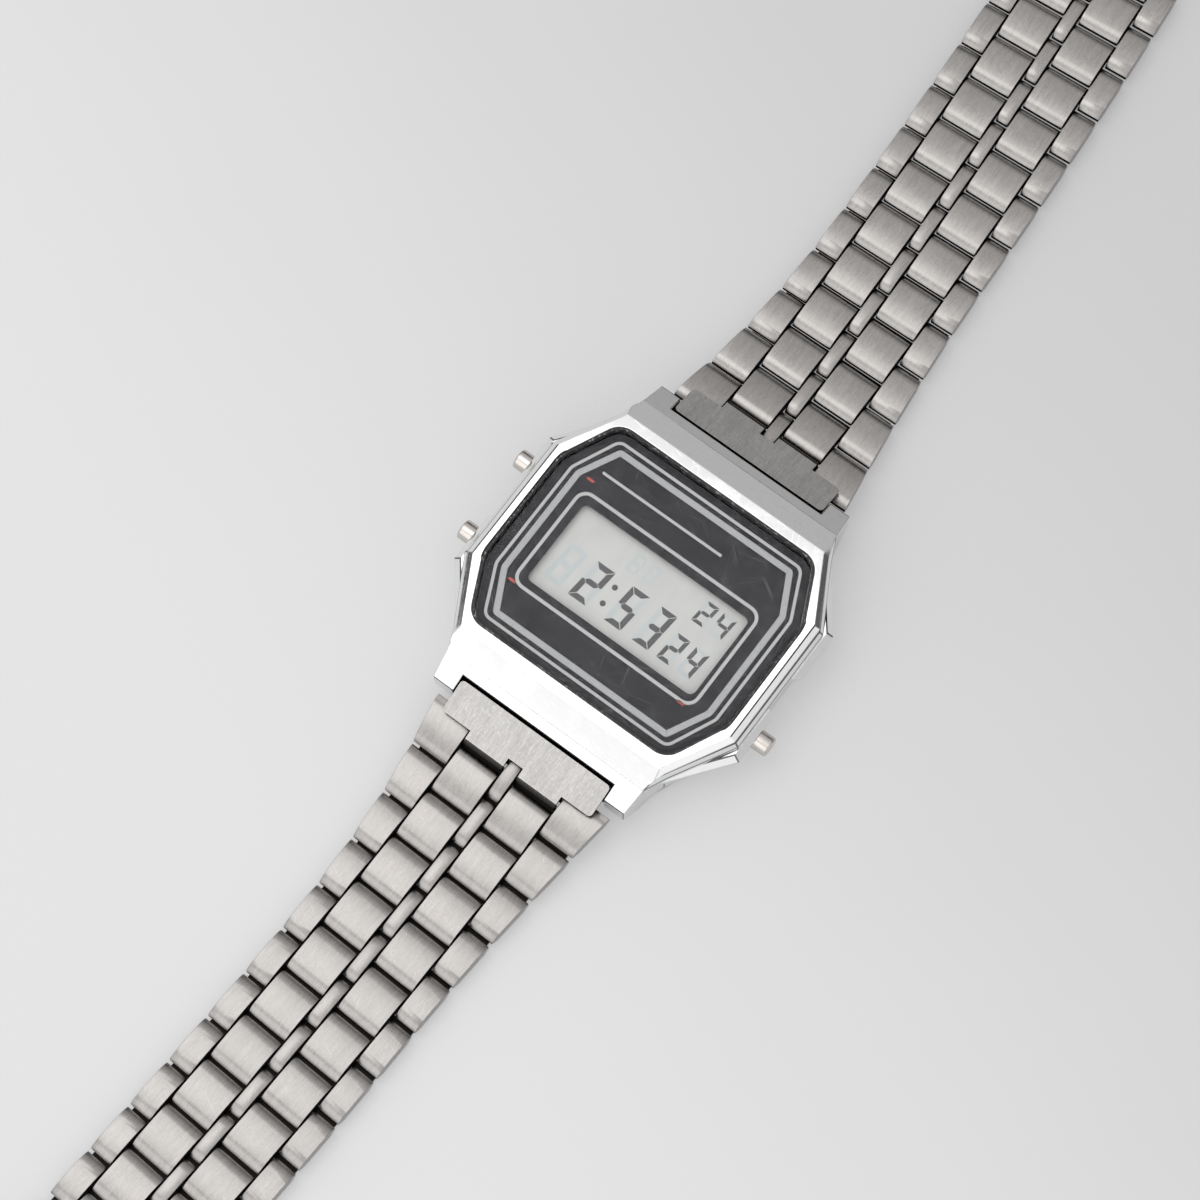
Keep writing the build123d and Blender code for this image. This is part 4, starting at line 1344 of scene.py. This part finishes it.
@dataclass
class Bracelet:
    """One half of the bracelet."""

    hour: str
    count: int
    last_joint: str
    flip: float
    pitch: float = 5.5
    gap: float = 0.4
    centre_width: float = 1.35
    column_gap: float = 0.2
    wide_width: float = 4.55
    band_wide: float = 20.6
    band_narrow: float = 16.2
    taper_pitches: float = 5
    top: float = 1.25
    crown: float = 0.09
    crown_steps: int = 12
    roll: float = 1.1
    roll_drop: float = 0.62
    roll_slope: float = 46.0
    roll_steps: int = 8
    end_low: float = 0.15
    skirt_low: float = -0.45
    skirt_set: float = 0.65
    wall: float = 0.28
    level: float = 0.001
    edge_round: float = 0.07
    rim_angle: float = 60.0
    end_link_round: float = 0.05
    pin_height: float = 0.45
    inner_height: float = 0.9
    side_normal: float = 0.85
    top_normal: float = 0.86
    column_shift: Place = (11.0, 0.0, 5.0)
    link_shift: Place = (0.0, 17.3, 3.1)

    @property
    def length(self) -> float:
        """Length of one cap."""
        return self.pitch - self.gap

    @property
    def row_start(self) -> float:
        """Where the near row of caps starts, from the hinge pin."""
        return self.pitch / 4 - self.length / 2

    def name(self, index: int) -> str:
        """Name of a link's node and body, by its number from 0."""
        return f"link_{self.hour}_{index + 1:02d}"

    def half_width(self, distance: float) -> float:
        """Half width of the bracelet at a distance from its first link."""
        left = max(0.0, 1 - distance / (self.taper_pitches * self.pitch))
        return (self.band_narrow + (self.band_wide - self.band_narrow) * left ** 2) / 2

    def place(self, index: int) -> Matrix:
        """Frame of one link on the watch.

        Args:
            index: Number of the link, from 0.

        Returns:
            The frame, in metres.
        """
        joints = {j["name"]: j for j in frame["joints"]}
        names = [f"hinge_{self.hour}_{i + 1:02d}" for i in range(self.count)] + [self.last_joint]
        origin = Vector(joints[names[index]]["pos_m"])
        after = joints[names[index + 1]]
        along = (Vector(after["pos_m"]) - origin).normalized()
        across = Vector(after["axis"]).normalized() * self.flip
        up = across.cross(along).normalized()
        turn = Matrix((along.cross(up), along, up)).transposed()
        return Matrix.Translation(origin) @ turn.to_4x4()

    def profile(self, start: float) -> tuple[list[Point], list[float]]:
        """Side view of a folded cap.

        Args:
            start: Place of its near end.

        Returns:
            The outline from the near skirt over the top to the far skirt, and where its creases are.
        """
        end = start + self.length
        shoulder = self.top - self.crown
        slope = radians(self.roll_slope)
        rise = arc((start, self.top - self.roll_drop), (start + self.roll, shoulder),
                   (cos(slope), sin(slope)), self.roll_steps)
        span = self.length - 2 * self.roll
        shares = [i / self.crown_steps for i in range(1, self.crown_steps)]
        crown = [(start + self.roll + span * s, shoulder + self.crown * 4 * s * (1 - s)) for s in shares]
        fall = [(start + end - y, z) for y, z in reversed(rise)]
        near = [(start + self.skirt_set, self.skirt_low), (start, self.end_low)]
        far = [(end, self.end_low), (end - self.skirt_set, self.skirt_low)]
        return [*near, *rise, *crown, *fall, *far], [start + self.roll, end - self.roll]

    def mark(self, work: Workpiece, creases: Sequence[float]) -> None:
        """Give a cap's walls in the gaps a near-black finish of painted shade and make its creases crisp.

        Args:
            work: Mesh whose fresh part is the cap.
            creases: Places of the creases along the cap.
        """
        outside = self.centre_width / 2 + 2 * self.column_gap + self.wide_width + self.wall
        faces = work.fresh_faces()
        for face in faces:
            inward = abs(face.calc_center_median().x) < outside
            across = abs(face.normal.x) > self.side_normal and inward
            # Walls facing across into the gaps between columns, and ends facing the next row, take the
            # painted shade finish.
            face.material_index = int(across or abs(face.normal.y) > self.side_normal)
        for edge in {e for f in faces for e in f.edges}:
            if any(all(abs(v.co.y - y) < self.level for v in edge.verts) for y in creases):
                edge.smooth = False

    def cap(self, work: Workpiece, inner: float, near: float, far: float, start: float,
            shift: Sequence[float]) -> None:
        """One hollow cap, folded from sheet.

        Args:
            work: Mesh that takes the cap.
            inner: Side nearer the middle.
            near: Other side at the near end.
            far: Other side at the far end.
            start: Place of its near end.
            shift: Offset of its grain.
        """
        points, creases = self.profile(start)
        for vert in work.extrude([work.face(points, inner, Facing.SIDE)]):
            vert.co.x = near + (far - near) * (vert.co.y - start) / self.length
        bottom = [f for f in work.fresh_faces()
                  if all(abs(v.co.z - self.skirt_low) < self.level for v in f.verts)]
        bmesh.ops.delete(work.mesh, geom=bottom, context="FACES_ONLY")
        bmesh.ops.recalc_face_normals(work.mesh, faces=work.fresh_faces())
        self.mark(work, creases)
        settled = work.settled
        work.bevel([e for e in work.folds(self.rim_angle) if not e.verts[0][settled]], self.edge_round)
        bmesh.ops.solidify(work.mesh, geom=work.fresh_faces(), thickness=self.wall)
        work.settle(shift)

    def caps(self, index: int) -> None:
        """The five caps of one link.

        Args:
            index: Number of the link, from 0.
        """
        begin = index * self.pitch
        centre = self.centre_width / 2
        inner = centre + self.column_gap
        outer = inner + self.wide_width
        edge = outer + self.column_gap
        near, far = self.half_width(begin), self.half_width(begin + self.length)
        first, second = self.row_start, self.row_start + self.pitch / 2
        columns = [(edge, near, far, first), (-edge, -near, -far, first), (-centre, centre, centre, first),
                   (inner, outer, outer, second), (-inner, -outer, -outer, second)]
        work = Workpiece()
        for column, (low, high_near, high_far, start) in enumerate(columns):
            shift = [c * column + s * index for c, s in zip(self.column_shift, self.link_shift)]
            self.cap(work, low, high_near, high_far, start, shift)
        name = self.name(index)
        work.finish(f"{name}_caps", name, "band_steel", [Finishes.band, Finishes.band_gap_shade],
                    self.place(index), weighted=True, replaces=[name], turn_out=False)

    def inside(self, index: int) -> None:
        """The folded strips and the pins of one link.

        Args:
            index: Number of the link, from 0.
        """
        name, place = self.name(index), self.place(index)
        strips = Workpiece.from_node(name, place.inverted())
        strips.keep(lambda part: max(v.co.z for v in part) < self.inner_height
                    and min(v.co.z for v in part) < -self.pin_height)
        strips.finish(f"{name}_strips", name, "band_steel", [Finishes.strip], place, turn_out=False)
        pins = Workpiece.from_node(name, place.inverted())
        pins.keep(lambda part: max(v.co.z for v in part) < self.pin_height)
        pins.finish(f"{name}_pins", name, "pin_steel", [Finishes.pin], place, turn_out=False)

    def end_link(self) -> None:
        """End link between the lugs."""
        name = f"end_link_{self.hour}"
        work = Workpiece.from_node(name)
        work.soften(self.end_link_round)
        # Faces that don't face up take the near-black strip steel: painted shade under the end link's plate.
        for face in work.mesh.faces:
            face.material_index = int(face.normal.z < self.top_normal)
        work.finish(f"{name}_folded", name, "band_steel", [Finishes.end_link, Finishes.strip], weighted=True,
                    replaces=[name], turn_out=False)

    def build(self) -> None:
        """Build this half."""
        self.end_link()
        for index in range(self.count):
            self.caps(index)
            self.inside(index)


@dataclass
class Clasp:
    """Cover, folding leaf and catch."""

    edge_round: float = 0.06

    def build(self) -> None:
        """Build the clasp's plates."""
        plate("clasp_cover", "clasp_cover", "clasp_steel", Finishes.clasp, self.edge_round)
        plate("clasp_leaf", "clasp_leaf", "leaf_steel", Finishes.leaf, self.edge_round)
        plate("catch_link", "catch_link", "clasp_steel", Finishes.clasp, self.edge_round)


@dataclass
class KeptNodes:
    """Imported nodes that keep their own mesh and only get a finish."""

    table: dict[str, Finish] = field(default_factory=lambda: {
        "lens": Finishes.lens, "lens_gasket": Finishes.gasket, "dial_panel": Finishes.panel,
        "display_glass": Finishes.cell, "display_reflector": Finishes.reflector,
        "light_guide": Finishes.guide, "contact_strips": Finishes.zebra, "module_frame": Finishes.module,
        "circuit_board": Finishes.board, "control_chip": Finishes.chip, "quartz_can": Finishes.can,
        "backlight_lamp": Finishes.lamp, "battery": Finishes.cell_steel, "battery_clamp": Finishes.cover,
        "module_cover": Finishes.cover, "piezo_disc": Finishes.brass, "piezo_spring": Finishes.gold,
        "back_gasket": Finishes.seal, "back_screws": Finishes.screw, "button_seals": Finishes.seal,
        "spring_bars": Finishes.bar, "catch_bar": Finishes.bar, "clasp_pin": Finishes.pin})

    def build(self) -> None:
        """Give each node its finish."""
        for node, finish in self.table.items():
            piece = frame["nodes"][node]
            if not piece.data.materials:
                piece.data.materials.append(None)
            for slot in piece.material_slots:
                slot.material = Finishes.get(finish)
            log.info("%s: finish %s", node, finish.name)


@dataclass(frozen=True)
class Lamp:
    """A soft square lamp aimed at the watch, with its power in watts."""

    name: str
    place: Place
    side: float
    power: float

    def build(self) -> None:
        """Hang the lamp."""
        data = bpy.data.lights.new(self.name, "AREA")
        data.shape = "SQUARE"
        data.size = self.side * MM
        data.energy = self.power
        lamp = bpy.data.objects.new(self.name, data)
        where = Vector(self.place) * MM
        lamp.matrix_world = Matrix.Translation(where) @ where.to_track_quat("Z", "Y").to_matrix().to_4x4()
        bpy.context.scene.collection.objects.link(lamp)


@dataclass
class Studio:
    """Floor, light and camera.

    The spans of the surround are places on the sphere of directions, from -1 to 1: X to the right, Y
    towards 12 o'clock and Z up.
    """

    floor_size: float = 2400.0
    floor_drop: float = 0.02
    focal_length: float = 105.35
    sensor: float = 36.0
    eye: Place = (55.705, -78.084, 329.646)
    look: Place = (-0.17399, 0.22281, -0.95921)
    up: Place = (-0.57217, 0.76990, 0.28262)
    nearest: float = 10.0
    farthest: float = 20000.0
    lamps: tuple[Lamp, ...] = (Lamp("key lamp", (-200, -20, 600), 380, 0.55),
                               Lamp("front lamp", (-70, -480, 260), 480, 0.45))
    sky_base: float = 0.44
    sky_rise: float = 0.60
    sky_back: float = 0.25
    sky_least: float = 0.05
    card_rise: Point = (0.38, 0.50)
    card_fall: Point = (0.62, 0.74)
    card_depth: float = 0.93
    side_span: Point = (0.60, 0.85)
    side_level: float = 0.35
    rim_span: Point = (0.0, 0.16)
    rim_depth: float = 0.85
    wall_rise: Point = (0.50, 0.85)
    wall_span: Point = (0.15, 0.42)
    wall_depth: float = 0.95

    def camera(self) -> None:
        """Camera at the photograph's viewing angle."""
        data = bpy.data.cameras.new("camera")
        data.lens = self.focal_length
        data.sensor_width = self.sensor
        data.clip_start = self.nearest * MM
        data.clip_end = self.farthest * MM
        camera = bpy.data.objects.new("camera", data)
        look = Vector(self.look).normalized()
        right = look.cross(Vector(self.up)).normalized()
        up = right.cross(look)
        turn = Matrix((right, up, -look)).transposed().to_4x4()
        camera.matrix_world = Matrix.Translation(Vector(self.eye) * MM) @ turn
        bpy.context.scene.collection.objects.link(camera)
        bpy.context.scene.camera = camera

    def floor(self) -> None:
        """Pale floor under the watch."""
        mesh = bmesh.new()
        bmesh.ops.create_grid(mesh, x_segments=1, y_segments=1, size=self.floor_size * MM / 2)
        bmesh.ops.translate(mesh, vec=(0, 0, -self.floor_drop * MM), verts=mesh.verts)
        data = bpy.data.meshes.new("floor")
        mesh.to_mesh(data)
        mesh.free()
        data.materials.append(Finishes.get(Finishes.floor))
        floor = bpy.data.objects.new("floor", data)
        bpy.context.scene.collection.objects.link(floor)

    def sky(self) -> None:
        """Soft studio surround, bright overhead and darker behind the 12 o'clock end.

        Gloss alone also sees a dark card and a light side on the right, a dark rim at the horizon and a
        dark wall behind the 12 o'clock end.
        """
        make = Recipe(bpy.data.worlds.new("surround"))
        direction = make.node("ShaderNodeTexCoord", output="Generated")
        x, y, z = (make.node("ShaderNodeSeparateXYZ", None, {0: direction}, output=axis) for axis in "XYZ")
        glossy = make.node("ShaderNodeLightPath", output="Is Glossy Ray")
        side = x.between(*self.side_span) * glossy
        card = x.between(*self.card_rise) * (1.0 - x.between(*self.card_fall)) * glossy * self.card_depth
        rim = (1.0 - z.between(*self.rim_span)) * (glossy - side) * self.rim_depth
        wall = y.between(*self.wall_rise) * (1.0 - z.between(*self.wall_span)) * glossy * self.wall_depth
        level = (self.sky_base + z * self.sky_rise - y * self.sky_back).larger(self.sky_least)
        level = (level + side * self.side_level) * (1.0 - card) * (1.0 - rim) * (1.0 - wall)
        grey = make.node("ShaderNodeCombineColor", None, {0: level, 1: level, 2: level})
        shade = make.node("ShaderNodeBackground", None, {"Color": grey, "Strength": 1.0})
        bpy.context.scene.world = make.end(shade, "ShaderNodeOutputWorld")

    def build(self) -> None:
        """Build the studio."""
        self.camera()
        self.floor()
        self.sky()
        for lamp in self.lamps:
            lamp.build()
        bpy.context.scene.view_settings.view_transform = "Standard"


def main() -> None:
    """Build the watch and the studio in order."""
    logging.basicConfig(level=logging.INFO, format="%(message)s")
    Studio().build()
    KeptNodes().build()
    Case().build()
    DialPrint().build()
    Display().build()
    for node in ("button_upper_left", "button_lower_left", "button_lower_right"):
        PushButton(node).build()
    Bracelet("12", 12, "catch_hinge", 1.0).build()
    Bracelet("6", 11, "cover_hinge", -1.0).build()
    Clasp().build()


if __name__ == "__main__":
    main()
